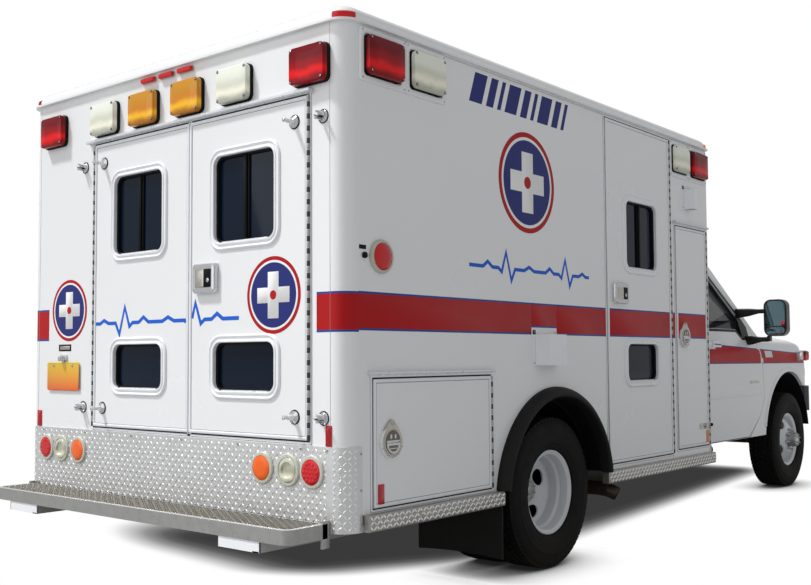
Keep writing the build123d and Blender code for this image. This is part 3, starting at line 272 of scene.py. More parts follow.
# near-black knuckles: painted shade of the gaps between a piano hinge's knuckles
hinge_gap_shade = surface("hinge_gap_shade", srgb(58, 56, 54), .6, grain=90, vary=.2)
rim_paint = surface("wheel_white", srgb(226, 229, 232), .3, coat=.3, grain=8, vary=.03, bump=.03,
                    dust=DIRT, dust_height=(.1, .75), dust_amount=.12)
hub_paint = surface("hub_grey", srgb(168, 168, 166), .4, metal=.6, grain=40, vary=.15, bump=.2)
tyre_rubber = surface("tyre_rubber", srgb(22, 21, 20), .75, grain=26, vary=.14, bump=.3, bump_scale=500,
                      dust=srgb(96, 86, 72), dust_height=(-.05, .25), dust_amount=.16, shine=.2)
glass = surface("tinted_glass", srgb(6, 22, 40), .04, grain=1.2, vary=.3, rough_vary=.01, shine=.2)
mirror_glass = surface("mirror_glass", srgb(128, 160, 168), .04, metal=.9, grain=2, vary=.05, rough_vary=.01)
screen_glass = surface("screen_glass", srgb(30, 40, 42), .03, grain=1, vary=.1, rough_vary=.01, alpha=.5,
                       shine=.4)
lamp_cover = surface("lamp_cover", srgb(236, 240, 244), .04, coat=.5, grain=4, vary=.02, rough_vary=.01,
                     alpha=.18)
cabin = surface("cabin_grey", srgb(92, 92, 94), .6, grain=50, vary=.06, bump=.2)
vinyl = surface("seat_vinyl", srgb(66, 72, 88), .45, grain=30, vary=.06, bump=.4, bump_scale=900, sheen=.1)
laminate = surface("laminate", srgb(214, 213, 208), .35, grain=18, vary=.03, bump=.03)
floor_sheet = surface("floor_sheet", srgb(150, 152, 154), .4, metal=.4, grain=25, vary=.06, bump=.1)
pipe_steel = surface("exhaust_steel", srgb(84, 70, 58), .5, metal=.7, grain=30, vary=.15, bump=.1)
reflector = surface("reflector_red", srgb(190, 14, 26), .2, coat=.4, grain=200, vary=.25, shine=.3)
amber_reflector = surface("reflector_amber", srgb(236, 120, 16), .2, coat=.4, grain=200, vary=.25, shine=.3)
bulb_ring = surface("lamp_ring", srgb(190, 190, 178), .5, grain=60, vary=.06)
# for each lens the darker top colour is painted shade and the third colour is its painted highlight
red_lens = lens("lens_red", srgb(116, 4, 18), srgb(158, 6, 18), srgb(236, 14, 22), coat=.14, shine=.15)
amber_lens = lens("lens_amber", srgb(206, 142, 24), srgb(214, 132, 10), srgb(255, 190, 24))
tail_clear = lens("lens_tail_clear", srgb(206, 208, 190), srgb(172, 174, 154), srgb(222, 220, 198))
clear_lens = lens("lens_clear", srgb(240, 243, 230), srgb(220, 222, 204), srgb(252, 248, 228))
orange_lens = surface("lens_orange", srgb(244, 100, 10), .2, coat=.4, grain=150, vary=.08, shine=.3)
tail_red = surface("lens_tail_red", srgb(204, 12, 24), .2, coat=.4, grain=130, vary=.3, shine=.3)
plate_paint = surface("plate_blend", srgb(232, 180, 40), .35, grain=20, vary=.04)


def blend_plate():
    """The blank plate fades from yellow at the top to orange at the bottom."""
    tree = plate_paint.node_tree
    place = tree.nodes.new("ShaderNodeTexCoord")
    ramp = tree.nodes.new("ShaderNodeValToRGB")
    ramp.color_ramp.elements[0].color = srgb(214, 84, 24)
    ramp.color_ramp.elements[1].color = srgb(236, 200, 60)
    tree.links.new(parts_of(tree, place.outputs["Generated"])[2], ramp.inputs["Fac"])
    tree.links.new(ramp.outputs[0], tree.nodes["Principled BSDF"].inputs["Base Color"])


blend_plate()


# ---------------------------------------------------------------- mesh tools
class Face:
    """A flat face of the vehicle: u and v run along it and d stands out of it, all in metres."""

    def __init__(self, origin, u, v, out):
        self.origin, self.u, self.v, self.out = Vector(origin), Vector(u), Vector(v), Vector(out)

    def at(self, u, v, d):
        return self.origin + self.u * u + self.v * v + self.out * d


REAR_FACE = Face((REAR, 0, 0), (0, 1, 0), (0, 0, 1), (-1, 0, 0))
RIGHT_FACE = Face((REAR, -HALF, 0), (1, 0, 0), (0, 0, 1), (0, -1, 0))
LEFT_FACE = Face((REAR, HALF, 0), (1, 0, 0), (0, 0, 1), (0, 1, 0))
FRONT_FACE = Face((FRONT, 0, 0), (0, 1, 0), (0, 0, 1), (1, 0, 0))
NOSE_FACE = Face((0, 0, 0), (0, 1, 0), (0, 0, 1), (1, 0, 0))  # d is x itself
PLAN = Face((0, 0, 0), (1, 0, 0), (0, 1, 0), (0, 0, 1))  # u, v and d are x, y and z themselves
SIDES = ((RIGHT_FACE, "right", -1), (LEFT_FACE, "left", 1))


def rounded(cu, cv, half_u, half_v, radius, steps=6):
    """A rounded rectangle as points, centred at (cu, cv)."""
    points = []
    radius = max(min(radius, half_u, half_v), 1e-5)
    for quarter, (su, sv) in enumerate(((1, 1), (-1, 1), (-1, -1), (1, -1))):
        for step in range(steps + 1):
            turn = (quarter + step / steps) * pi / 2
            points.append((cu + su * (half_u - radius) + radius * cos(turn),
                           cv + sv * (half_v - radius) + radius * sin(turn)))
    return points


def span(u, v, grow, radius, steps=2):
    """A rounded rectangle from its low and high bounds."""
    return rounded((u[0] + u[1]) / 2, (v[0] + v[1]) / 2, (u[1] - u[0]) / 2 + grow, (v[1] - v[0]) / 2 + grow,
                   radius, steps)


def circle(cu, cv, radius, count):
    """A circle as points."""
    return [(cu + radius * cos(2 * pi * i / count),
             cv + radius * sin(2 * pi * i / count)) for i in range(count)]


def stack(bm, face, rings, mat=0, loop=False):
    """Skins a row of outlines of equal count, each at its own depth, and closes the ends."""
    rows = [[bm.verts.new(face.at(u, v, depth)) for u, v in outline] for outline, depth in rings]
    pairs = list(zip(rows, rows[1:])) + ([(rows[-1], rows[0])] if loop else [])
    skins = []
    for a, b in pairs:
        for i in range(len(a)):
            j = (i + 1) % len(a)
            skins.append(bm.faces.new((a[i], a[j], b[j], b[i])))
    if not loop:
        skins += [bm.faces.new(rows[0][::-1]), bm.faces.new(rows[-1])]
    for skin in skins:
        skin.material_index = mat


def discs(bm, face, cu, cv, levels, mat=0, count=32, loop=False):
    """A stack of circles on one centre, from (radius, depth) levels."""
    stack(bm, face, [(circle(cu, cv, radius, count), depth) for radius, depth in levels], mat, loop)


def plates(bm, face, cu, cv, levels, mat=0, steps=6, loop=False):
    """A stack of rounded rectangles on one centre, from (half u, half v, corner radius, depth) levels."""
    stack(bm, face, [(rounded(cu, cv, half_u, half_v, radius, steps), depth)
                     for half_u, half_v, radius, depth in levels], mat, loop)


def panels(bm, face, u, v, levels, mat=0, steps=2, loop=False):
    """A stack of rounded rectangles between bounds, from (growth, corner radius, depth) levels."""
    stack(bm, face, [(span(u, v, grow, radius, steps), depth) for grow, radius, depth in levels], mat, loop)


def block(bm, face, u, v, d, mat=0, ease=.001):
    """A box with eased edges between bounds on a face."""
    ease = min(ease, (u[1] - u[0]) / 3, (v[1] - v[0]) / 3, abs(d[1] - d[0]) / 3)
    panels(bm, face, u, v, ((0, ease, d[0]), (0, ease, d[1] - ease), (-ease, ease, d[1])), mat)


def spin(bm, centre, axis, profile, count, mat=0, start=0, turn=2 * pi):
    """Turns a closed profile of (radius, distance along the axis) points about an axis."""
    axis = Vector(axis).normalized()
    across_car = abs(axis.y) > .9
    side = Vector((1, 0, 0)) if across_car else axis.orthogonal().normalized()
    up = Vector((0, 0, 1)) if across_car else axis.cross(side)
    whole = abs(turn - 2 * pi) < 1e-6
    rows = []
    for i in range(count if whole else count + 1):
        angle = start + turn * i / count
        out = side * cos(angle) + up * sin(angle)
        rows.append([bm.verts.new(Vector(centre) + out * r + axis * a) for r, a in profile])
    pairs = list(zip(rows, rows[1:])) + ([(rows[-1], rows[0])] if whole else [])
    size = len(profile)
    for a, b in pairs:
        for k in range(size):
            m = (k + 1) % size
            face = bm.faces.new((a[k], a[m], b[m], b[k]))
            face.material_index = mat
    if not whole:
        bm.faces.new(rows[0]).material_index = mat
        bm.faces.new(rows[-1][::-1]).material_index = mat


def tube(bm, points, radius, count=12, mat=0):
    """A round bar along a short list of points."""
    points = [Vector(p) for p in points]
    rows = []
    for i, point in enumerate(points):
        ahead = points[min(i + 1, len(points) - 1)] - points[max(i - 1, 0)]
        ahead.normalize()
        side = ahead.cross(Vector((0, 0, 1)))
        if side.length < .1:
            side = ahead.cross(Vector((0, 1, 0)))
        side.normalize()
        up = side.cross(ahead)
        rows.append([bm.verts.new(point + radius * (side * cos(2 * pi * k / count)
                                                    + up * sin(2 * pi * k / count)))
                     for k in range(count)])
    for a, b in zip(rows, rows[1:]):
        for k in range(count):
            m = (k + 1) % count
            bm.faces.new((a[k], a[m], b[m], b[k])).material_index = mat
    bm.faces.new(rows[0][::-1]).material_index = mat
    bm.faces.new(rows[-1]).material_index = mat


def screw(bm, face, u, v, d, radius, mat, dark):
    """A pan head with a dark cross on it, drawn as painted shade of the cross cut."""
    discs(bm, face, u, v, ((radius, d), (radius, d + radius * .35),
                           (radius * .6, d + radius * .6)), mat, count=12)
    for half_u, half_v in ((radius * .5, radius * .12), (radius * .12, radius * .5)):
        block(bm, face, (u - half_u, u + half_u), (v - half_v, v + half_v), (d, d + radius * .66), dark,
              .0001)


def corner_screws(bm, face, cu, cv, reach_u, reach_v, d, radius, mat, dark):
    """Four screws, one near each corner of an oblong."""
    for side_u in (-1, 1):
        for side_v in (-1, 1):
            screw(bm, face, cu + side_u * reach_u, cv + side_v * reach_v, d, radius, mat, dark)


def ring_screws(bm, face, cu, cv, reach, d, radius, mat, dark, first=90, apart=120, count=3):
    """Screws on a circle, from a first angle on, in degrees."""
    for k in range(count):
        angle = radians(first + apart * k)
        screw(bm, face, cu + reach * cos(angle), cv + reach * sin(angle), d, radius, mat, dark)


def made(name, build, mats, body, angle=38, stands_for=()):
    """Runs a build function on a new mesh, marks its hard edges and hangs the piece on its body's empty."""
    bm = bmesh.new()
    build(bm)
    bmesh.ops.remove_doubles(bm, verts=bm.verts, dist=1e-6)
    bmesh.ops.recalc_face_normals(bm, faces=bm.faces)
    for face in bm.faces:
        face.smooth = True
    for edge in bm.edges:
        edge.smooth = len(edge.link_faces) == 2 and edge.calc_face_angle(0) < radians(angle)
    mesh = bpy.data.meshes.new(name)
    bm.to_mesh(mesh)
    bm.free()
    for mat in mats:
        mesh.materials.append(mat)
    piece = bpy.data.objects.new(name, mesh)
    scene.collection.objects.link(piece)
    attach(piece, body)
    if stands_for:
        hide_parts(*stands_for)
    return piece


def lozenges(bm, face, u, v, d, pitch=.0240, length=.024, width=.0066, height=.0024, mat=0, phase=0):
    """Raised bars of tread plate, turned left and right by turns."""
    rows = int((v[1] - v[0]) / pitch)
    columns = int((u[1] - u[0]) / pitch)
    start_u = (u[0] + u[1] - (columns - 1) * pitch) / 2
    start_v = (v[0] + v[1] - (rows - 1) * pitch) / 2
    for row in range(rows):
        for column in range(columns):
            cu, cv = start_u + column * pitch, start_v + row * pitch
            lean = radians(45) if (row + column + phase) % 2 else radians(-45)
            along, across = Vector((cos(lean), sin(lean))), Vector((-sin(lean), cos(lean)))
            rim = [along * length / 2, along * length * .25 + across * width / 2,
                   -along * length * .25 + across * width / 2, -along * length / 2,
                   -along * length * .25 - across * width / 2, along * length * .25 - across * width / 2]
            base = [bm.verts.new(face.at(cu + p.x, cv + p.y, d)) for p in rim]
            top = [bm.verts.new(face.at(cu + p.x * .55, cv + p.y * .45, d + height)) for p in rim]
            for i in range(6):
                j = (i + 1) % 6
                bm.faces.new((base[i], base[j], top[j], top[i])).material_index = mat
            bm.faces.new(top).material_index = mat
            bm.faces.new(base[::-1]).material_index = mat


# ---------------------------------------------------------------- finishes of the CAD pieces
def dress(names, mat):
    """Puts one material on CAD pieces."""
    for name in names:
        slots = nodes[name].data.materials
        if not slots:
            slots.append(mat)
        for index in range(len(slots)):
            slots[index] = mat


dress(("module_left_wall", "module_right_wall", "module_end_walls", "module_roof", "rear_left_door",
       "rear_right_door", "entry_door", "right_rear_locker_door", "right_front_locker_door",
       "left_rear_locker_door", "left_front_locker_door", "cab_shell", "cab_left_door", "cab_right_door",
       "hood", "front_fenders"), paint)
dress(("rear_left_glass", "rear_right_glass", "entry_glass"), glass)
dress(("windshield", "cab_left_glass", "cab_right_glass"), screen_glass)
dress(("frame_rails", "axles_and_springs", "powertrain", "left_knuckle", "right_knuckle"), chassis)
dress(("locker_liners", "module_floor"), floor_sheet)
dress(("bench_and_cabinets",), laminate)
dress(("dashboard",), cabin)
dress(("grille_and_bumper",), bumper_metal)
dress(("front_left_rim", "front_right_rim", "rear_left_rims", "rear_right_rims"), rim_paint)
dress(("front_left_tyre", "front_right_tyre", "rear_left_tyres", "rear_right_tyres"), tyre_rubber)
dress(("step_and_plates",), tread)
dress(("flares_and_flaps",), black)
dress(("lamps",), red_lens)
dress(("wall_fittings",), steel)
dress(("seats",), vinyl)


def darken_outside(mat_name, limit, front_of):
    """White paint that turns to black plastic on what stands out past a distance from the centre line."""
    mat = paint.copy()
    mat.name = mat_name
    tree = mat.node_tree
    x, y, _ = parts_of(tree, tree.nodes.new("ShaderNodeTexCoord").outputs["Object"])
    outside = maths(tree, "GREATER_THAN", maths(tree, "ABSOLUTE", y), limit)
    ahead = maths(tree, "GREATER_THAN", x, front_of)
    swap_base(tree, maths(tree, "MULTIPLY", outside, ahead), srgb(22, 22, 24))
    return mat


# inside the cab lies what is nearer the centre line than INNER_LINE - INNER_LEAN * z, and than INNER_WIDEST
INNER_LINE, INNER_LEAN, INNER_WIDEST = 1.2325, .254, .960


def trim_inside(mat, zones):
    """Dark trim on what lies inside a line that leans in with the cab's side, between bounds of x and z."""
    tree = mat.node_tree
    x, y, z = parts_of(tree, tree.nodes.new("ShaderNodeTexCoord").outputs["Object"])
    leaning = maths(tree, "SUBTRACT", INNER_LINE, maths(tree, "MULTIPLY", z, INNER_LEAN))
    inner = maths(tree, "LESS_THAN", maths(tree, "ABSOLUTE", y),
                  maths(tree, "MINIMUM", leaning, INNER_WIDEST))
    total = 0
    for (x_low, x_high), (z_low, z_high) in zones:
        along = maths(tree, "MULTIPLY", maths(tree, "GREATER_THAN", x, x_low),
                      maths(tree, "LESS_THAN", x, x_high))
        upright = maths(tree, "MULTIPLY", maths(tree, "GREATER_THAN", z, z_low),
                        maths(tree, "LESS_THAN", z, z_high))
        within = maths(tree, "MULTIPLY", inner, maths(tree, "MULTIPLY", along, upright))
        total = maths(tree, "MAXIMUM", total, within)
    swap_base(tree, total, srgb(66, 67, 70))


# the mirrors stand out past this distance from the centre line, ahead of this x
MIRROR_OUT, MIRROR_AHEAD = .9875, 1.55
door_paint = darken_outside("cab_door_paint", MIRROR_OUT, MIRROR_AHEAD)
trim_inside(door_paint, (((CAB, CAB + 2), (.40, 1.85)),))
dress(("cab_left_door", "cab_right_door"), door_paint)
shell_paint = paint.copy()
shell_paint.name = "cab_shell_paint"
trim_inside(shell_paint, (((CAB + .03, CAB + CAB_FOOT - .03), (.71, 1.22)),
                          ((CAB + .03, CAB + .70), (1.22, 1.80))))
dress(("cab_shell",), shell_paint)

# ---------------------------------------------------------------- camera
CAMERA_AT = Vector((-6.3074, -4.0309, 1.1177))
CAMERA_YAW, CAMERA_PITCH, CAMERA_ROLL = .6985, .0514, -.0053
PHOTO_WIDTH, PHOTO_HEIGHT = 811, 585
FOCAL_PIXELS, CENTRE_U, CENTRE_V = 1013.952, 397.4165, 305.1239


def set_camera():
    """The camera that was solved from the photo."""
    ahead = Vector((cos(CAMERA_PITCH) * cos(CAMERA_YAW), cos(CAMERA_PITCH) * sin(CAMERA_YAW),
                    sin(CAMERA_PITCH)))
    level = Vector((sin(CAMERA_YAW), -cos(CAMERA_YAW), 0))
    rise = level.cross(ahead)
    right = level * cos(CAMERA_ROLL) + rise * sin(CAMERA_ROLL)
    up = rise * cos(CAMERA_ROLL) - level * sin(CAMERA_ROLL)
    data = bpy.data.cameras.new("camera")
    data.sensor_width = 36
    data.lens = FOCAL_PIXELS * data.sensor_width / PHOTO_WIDTH
    data.shift_x = (PHOTO_WIDTH / 2 - CENTRE_U) / PHOTO_WIDTH
    data.shift_y = (CENTRE_V - PHOTO_HEIGHT / 2) / PHOTO_WIDTH
    data.clip_end = 200
    camera = bpy.data.objects.new("camera", data)
    scene.collection.objects.link(camera)
    turn = Matrix((right, up, -ahead)).transposed().to_4x4()
    camera.matrix_world = Matrix.Translation(CAMERA_AT) @ turn
    scene.camera = camera


set_camera()

# ---------------------------------------------------------------- light, world and floor
SUN_TOWARD = Vector((-.38, .39, .84))
SUN_STRENGTH = 3.08
FILL_TOWARD = Vector((-.92, .30, .25))
FILL_STRENGTH = .69
KEY_SPREAD, FILL_SPREAD = radians(7), radians(60)
FILL_GLOSS = .3
SKY_STRENGTH = .42
GLOSSY_SHARE = .15  # how much of the plain white backdrop the glossy surfaces mirror


def set_light():
    """A soft key, a wide fill and a pale sky that is plain white to the camera."""
    for name, toward, strength, spread, gloss in (("key", SUN_TOWARD, SUN_STRENGTH, KEY_SPREAD, 1),
                                                  ("fill", FILL_TOWARD, FILL_STRENGTH, FILL_SPREAD,
                                                   FILL_GLOSS)):
        lamp = bpy.data.lights.new(name, "SUN")
        lamp.energy, lamp.angle, lamp.specular_factor = strength, spread, gloss
        sun = bpy.data.objects.new(name, lamp)
        sun.rotation_euler = toward.to_track_quat("Z", "Y").to_euler()
        scene.collection.objects.link(sun)
    world = bpy.data.worlds.new("studio")
    scene.world = world
    world.use_nodes = True
    tree = world.node_tree
    tree.nodes.clear()
    out = tree.nodes.new("ShaderNodeOutputWorld")
    path = tree.nodes.new("ShaderNodeLightPath")
    soft = tree.nodes.new("ShaderNodeBackground")
    soft.inputs["Color"].default_value = (.975, .985, 1, 1)
    soft.inputs["Strength"].default_value = SKY_STRENGTH
    plain = tree.nodes.new("ShaderNodeBackground")
    plain.inputs["Color"].default_value = (1, 1, 1, 1)
    plain.inputs["Strength"].default_value = 1
    mirrored = maths(tree, "MULTIPLY", path.outputs["Is Glossy Ray"], GLOSSY_SHARE)
    indirect = maths(tree, "MAXIMUM", path.outputs["Is Transmission Ray"], mirrored)
    shown = maths(tree, "MAXIMUM", path.outputs["Is Camera Ray"], indirect)
    mix = tree.nodes.new("ShaderNodeMixShader")
    tree.links.new(shown, mix.inputs[0])
    tree.links.new(soft.outputs[0], mix.inputs[1])
    tree.links.new(plain.outputs[0], mix.inputs[2])
    tree.links.new(mix.outputs[0], out.inputs[0])


FLOOR_REACH = 60
FLOOR_BOUNCE = .42  # grey of the floor as the other surfaces see it
# edges of the ground shadow's dark core: the way out, the distance that way, width of the soft border
SHADOW_EDGES = (((-1, .12), 2.30, .50), ((1, 0), 3.30, .60), ((.10, -1), .42, .38), ((0, 1), .95, 1.05),
                ((-.5, -.87), 1.20, .45))
# share of the border, grey level there
SHADOW_FADE = ((0, .042), (.25, .060), (.42, .12), (.60, .30), (.78, .64), (.92, .93), (1, 1))
# openness round the tyres and flaps, grey level there, and the distance that is searched
CONTACT_FADE = ((.12, .012), (.42, .16), (.68, .60), (.92, 1))
CONTACT_REACH = .34


def grey_ramp(tree, factor, stops):
    """A grey ramp from (position, level) stops."""
    node = tree.nodes.new("ShaderNodeValToRGB")
    ends = node.color_ramp.elements
    for end, (spot, level) in ((ends[0], stops[0]), (ends[1], stops[-1])):
        end.position, end.color = spot, (level, level, level, 1)
    for spot, level in stops[1:-1]:
        ends.new(spot).color = (level, level, level, 1)
    tree.links.new(factor, node.inputs["Fac"])
    return node.outputs[0]


def set_floor():
    """A pale floor that shows only a soft shadow."""
    bm = bmesh.new()
    far = FLOOR_REACH
    bm.faces.new([bm.verts.new((x, y, 0)) for x, y in ((-far, -far), (far, -far), (far, far), (-far, far))])
    mesh = bpy.data.meshes.new("floor")
    bm.to_mesh(mesh)
    bm.free()
    floor = bpy.data.objects.new("floor", mesh)
    scene.collection.objects.link(floor)
    mat = bpy.data.materials.new("floor_pale")
    mat.use_nodes = True
    tree = mat.node_tree
    tree.nodes.clear()
    out = tree.nodes.new("ShaderNodeOutputMaterial")
    path = tree.nodes.new("ShaderNodeLightPath")
    bounce = tree.nodes.new("ShaderNodeBsdfDiffuse")
    bounce.inputs["Color"].default_value = (FLOOR_BOUNCE, FLOOR_BOUNCE, FLOOR_BOUNCE, 1)

    # soft drop shadow: distance from a many-sided core, measured in widths of its soft border
    x, y, _ = parts_of(tree, tree.nodes.new("ShaderNodeNewGeometry").outputs["Position"])
    total = None
    for (along, across), edge, soft in SHADOW_EDGES:
        outward = maths(tree, "ADD", maths(tree, "MULTIPLY", x, along), maths(tree, "MULTIPLY", y, across))
        past = maths(tree, "MULTIPLY", maths(tree, "SUBTRACT", outward, edge), 1 / soft)
        kept = maths(tree, "MAXIMUM", past, 0)
        square = maths(tree, "MULTIPLY", kept, kept)
        total = square if total is None else maths(tree, "ADD", total, square)
    cast = grey_ramp(tree, maths(tree, "SQRT", total), SHADOW_FADE)

    # darker contact right under the tyres and flaps
    near = tree.nodes.new("ShaderNodeAmbientOcclusion")
    near.inputs["Distance"].default_value = CONTACT_REACH
    near.samples = 16
    contact = grey_ramp(tree, near.outputs["AO"], CONTACT_FADE)
    darkest = tree.nodes.new("ShaderNodeMix")
    darkest.data_type, darkest.blend_type = "RGBA", "DARKEN"
    for index, value in ((0, 1), (6, cast), (7, contact)):
        feed(tree, darkest.inputs[index], value)
    seen = tree.nodes.new("ShaderNodeEmission")
    tree.links.new(darkest.outputs[2], seen.inputs["Color"])
    mix = tree.nodes.new("ShaderNodeMixShader")
    tree.links.new(path.outputs["Is Camera Ray"], mix.inputs[0])
    tree.links.new(bounce.outputs[0], mix.inputs[1])
    tree.links.new(seen.outputs[0], mix.inputs[2])
    tree.links.new(mix.outputs[0], out.inputs[0])
    mesh.materials.append(mat)


set_light()
set_floor()
scene.view_settings.view_transform = "Standard"

# ---------------------------------------------------------------- warning lamps
# rear face: centre u, lens material
REAR_LAMPS = ((.957, red_lens), (.480, clear_lens), (.147, amber_lens), (-.195, amber_lens),
              (-.535, clear_lens), (-1.015, red_lens))
LAMP_HALF = (.107, .085)
END_LAMP_V = 2.361
END_LAMP_TOP, SIDE_LAMP_TOP = .045, .040
SIDE_LAMP_HALF_V = .088
ID_LAMP_V = 2.502
SIDE_LAMP_V = (2.402, 2.399)  # the rear pair, the front pair
# side faces: frame centre u, frame half width, lens centre u, lens half width, lens material
SIDE_LAMPS = ((.240, .150, .2375, .122, red_lens), (.536, .144, .538, .119, clear_lens),
              (3.202, .137, 3.207, .114, clear_lens), (3.486, .140, 3.493, .117, red_lens))


def lens_body(face, cu, cv, half_u, half_v, top):
    """Gasket, prismed lens and four corner screws, standing on the face."""
    rim = .016

    def build(bm):
        plates(bm, face, cu, cv, ((half_u, half_v, .028, 0), (half_u, half_v, .028, .014),
                                  (half_u - .003, half_v - .003, .026, .017)), 1)
        plates(bm, face, cu, cv, ((half_u - .004, half_v - .004, .025, rim),
                                  (half_u - .004, half_v - .004, .025, top - .007),
                                  (half_u - .006, half_v - .006, .024, top - .003),
                                  (half_u - .011, half_v - .011, .020, top - .001),
                                  (half_u - .022, half_v - .022, .014, top - .0015),
                                  (half_u - .026, half_v - .026, .018, top - .0004),
                                  (half_u * .45, half_v * .45, .02, top)))
        for side_u in (-1, 1):
            for side_v in (-1, 1):
                at_u, at_v = cu + side_u * (half_u - .017), cv + side_v * (half_v - .017)
                discs(bm, face, at_u, at_v, ((.007, top - .002), (.007, top - .0004)), 1, count=14)
                screw(bm, face, at_u, at_v, top - .0005, .0045, 2, 1)
    return build


for number, (u, mat) in enumerate(REAR_LAMPS):
    made(f"rear_lamp_{number}", lens_body(REAR_FACE, u, END_LAMP_V, *LAMP_HALF, END_LAMP_TOP),
         (mat, seal, chrome), "chassis", stands_for=("lamps",))

for face, tag, side in SIDES:
    for number, (frame_u, frame_half, u, half_u, mat) in enumerate(SIDE_LAMPS):
        v = SIDE_LAMP_V[number // 2]

        def bezel(bm):
            outer_v, inner_u, inner_v = .115, half_u + .003, .091
            stack(bm, face, [(rounded(frame_u, v, frame_half, outer_v, .008), 0),
                             (rounded(frame_u, v, frame_half, outer_v, .008), .010),
                             (rounded(frame_u, v, frame_half - .002, outer_v - .002, .007), .012),
                             (rounded(u, v, inner_u + .004, inner_v + .004, .02), .012),
                             (rounded(u, v, inner_u, inner_v, .018), .010),
                             (rounded(u, v, inner_u, inner_v, .018), 0)], 0, loop=True)
            corner_screws(bm, face, frame_u, v, frame_half - .013, .103, .012, .0042, 1, 2)
        made(f"{tag}_bezel_{number}", bezel, (frame_paint, steel, seal), "chassis")
        made(f"{tag}_lamp_{number}", lens_body(face, u, v, half_u, SIDE_LAMP_HALF_V, SIDE_LAMP_TOP),
             (mat, seal, chrome), "chassis")


def id_lamps(face, places):
    """A row of small flat lamps on their bases."""
    def build(bm):
        for u in places:
            plates(bm, face, u, ID_LAMP_V, ((.057, .013, .008, 0), (.057, .013, .008, .006)), 1)
            plates(bm, face, u, ID_LAMP_V, ((.054, .012, .008, .006), (.054, .012, .008, .017),
                                            (.050, .009, .008, .022)))
    return build


made("rear_id_lamps", id_lamps(REAR_FACE, (.122, -.022, -.166)), (tail_red, bulb_ring), "chassis")


CORNER_WRAP = radians(64)  # how far a corner lens reaches round


def corner_lamp(end, side):
    """A lens wrapped round the roof's corner just above the gutter."""
    radius = CORNER if end < 0 else .02
    centre = (REAR + radius if end < 0 else FRONT - radius, side * (HALF - radius), 2.5585)

    def build(bm):
        out = radius - .004
        section = [(out, -.018), (out + .012, -.016), (out + .015, -.006), (out + .013, .008), (out, .016)]
        heading = atan2(side, end)
        spin(bm, centre, (0, 0, 1), section, 14, 0, 0, CORNER_WRAP)
        turned = Matrix.Rotation(heading - CORNER_WRAP / 2 - atan2(*reversed(first_arm(centre, bm))), 4, "Z")
        bmesh.ops.transform(bm, verts=bm.verts, matrix=turned, space=Matrix.Translation(-Vector(centre)))
    return build


def first_arm(centre, bm):
    """Direction in plan from a centre to the first vertex of a mesh."""
    bm.verts.ensure_lookup_table()
    arm = bm.verts[0].co - Vector(centre)
    return arm.x, arm.y


for end in (-1, 1):
    for side in (-1, 1):
        name = f"corner_lamp_{'rear' if end < 0 else 'front'}_{'left' if side > 0 else 'right'}"
        made(name, corner_lamp(end, side), (tail_red if end < 0 else amber_reflector,), "chassis")


TAIL_V, TAIL_BASE = .640, .004


def tail_lamp(u, kind):
    """A round lamp in its grommet: a deep one, a domed one, or a domed one with a cluster of cells."""
    v, d = TAIL_V, TAIL_BASE

    def build(bm):
        discs(bm, REAR_FACE, u, v, ((.071, d), (.071, d + .005), (.066, d + .010), (.055, d + .011),
                                    (.053, d + .006), (.053, d)), 1, loop=True)
        if kind == "deep":
            discs(bm, REAR_FACE, u, v, ((.053, d), (.053, d + .008), (.049, d + .012), (.036, d + .0125),
                                        (.030, d + .006), (.012, d + .004)))
        else:
            discs(bm, REAR_FACE, u, v, ((.053, d), (.053, d + .010), (.047, d + .014), (.03, d + .0155),
                                        (.01, d + .016)))
        ring_screws(bm, REAR_FACE, u, v, .0615, d + .0095, .003, 2, 3)
        if kind == "cells":
            for ring, count in ((0, 1), (.020, 6), (.038, 12)):
                for k in range(count):
                    a = 2 * pi * k / count
                    cu, cv = u + ring * cos(a), v + ring * sin(a)
                    discs(bm, REAR_FACE, cu, cv, ((.0075, d + .012), (.0065, d + .0158),
                                                  (.003, d + .0175)), count=10)
    return build


for side in (-1, 1):
    tag = "left" if side > 0 else "right"
    for u, mat, kind in ((1.016, tail_red, "cells"), (.8735, tail_clear, "deep"),
                         (.712, orange_lens, "dome")):
        made(f"tail_{kind}_{tag}", tail_lamp(side * u, kind), (mat, bulb_ring, steel, seal), "chassis")


def round_marker(face):
    """The round marker lamp of a side, with the small round button, screw and label behind it."""
    def build(bm):
        u, v = .225, 1.547
        discs(bm, face, u, v, ((.073, 0), (.073, .010), (.069, .015), (.060, .016), (.0575, .012),
                               (.0575, 0)), 1, count=40, loop=True)
        discs(bm, face, u, v, ((.0575, 0), (.0575, .014), (.050, .020), (.030, .023),
                               (.008, .024)), count=40)
        ring_screws(bm, face, u, v, .0655, .0145, .0035, 2, 3)
        discs(bm, face, .119, v, ((.013, 0), (.013, .010), (.009, .013)), 3, count=20)
        discs(bm, face, .136, v, ((.008, 0), (.007, .007)), 2, count=16)
        block(bm, face, (.088, .132), (1.572, 1.590), (0, .0008), 3)
    return build


for face, tag, side in SIDES:
    made(f"{tag}_round_marker", round_marker(face), (tail_red, bulb_ring, steel, seal), "chassis")


def reflectors(bm):
    """The two red reflectors above the kick plate."""
    for u in ((1.079, 1.122), (-1.126, -1.092)):
        block(bm, REAR_FACE, u, (.751, .837), (0, .004))


made("rear_reflectors", reflectors, (reflector,), "chassis")

# ---------------------------------------------------------------- window frames and middle bars
UPPER_V, LOWER_V = (1.645, 2.048), (.968, 1.190)
REAR_LEFT_U, REAR_RIGHT_U, ENTRY_U = (.003, .400), (-.790, -.384), (2.443, 2.842)
LIP = .005
WINDOW_RADIUS = .045  # of the glass's corners


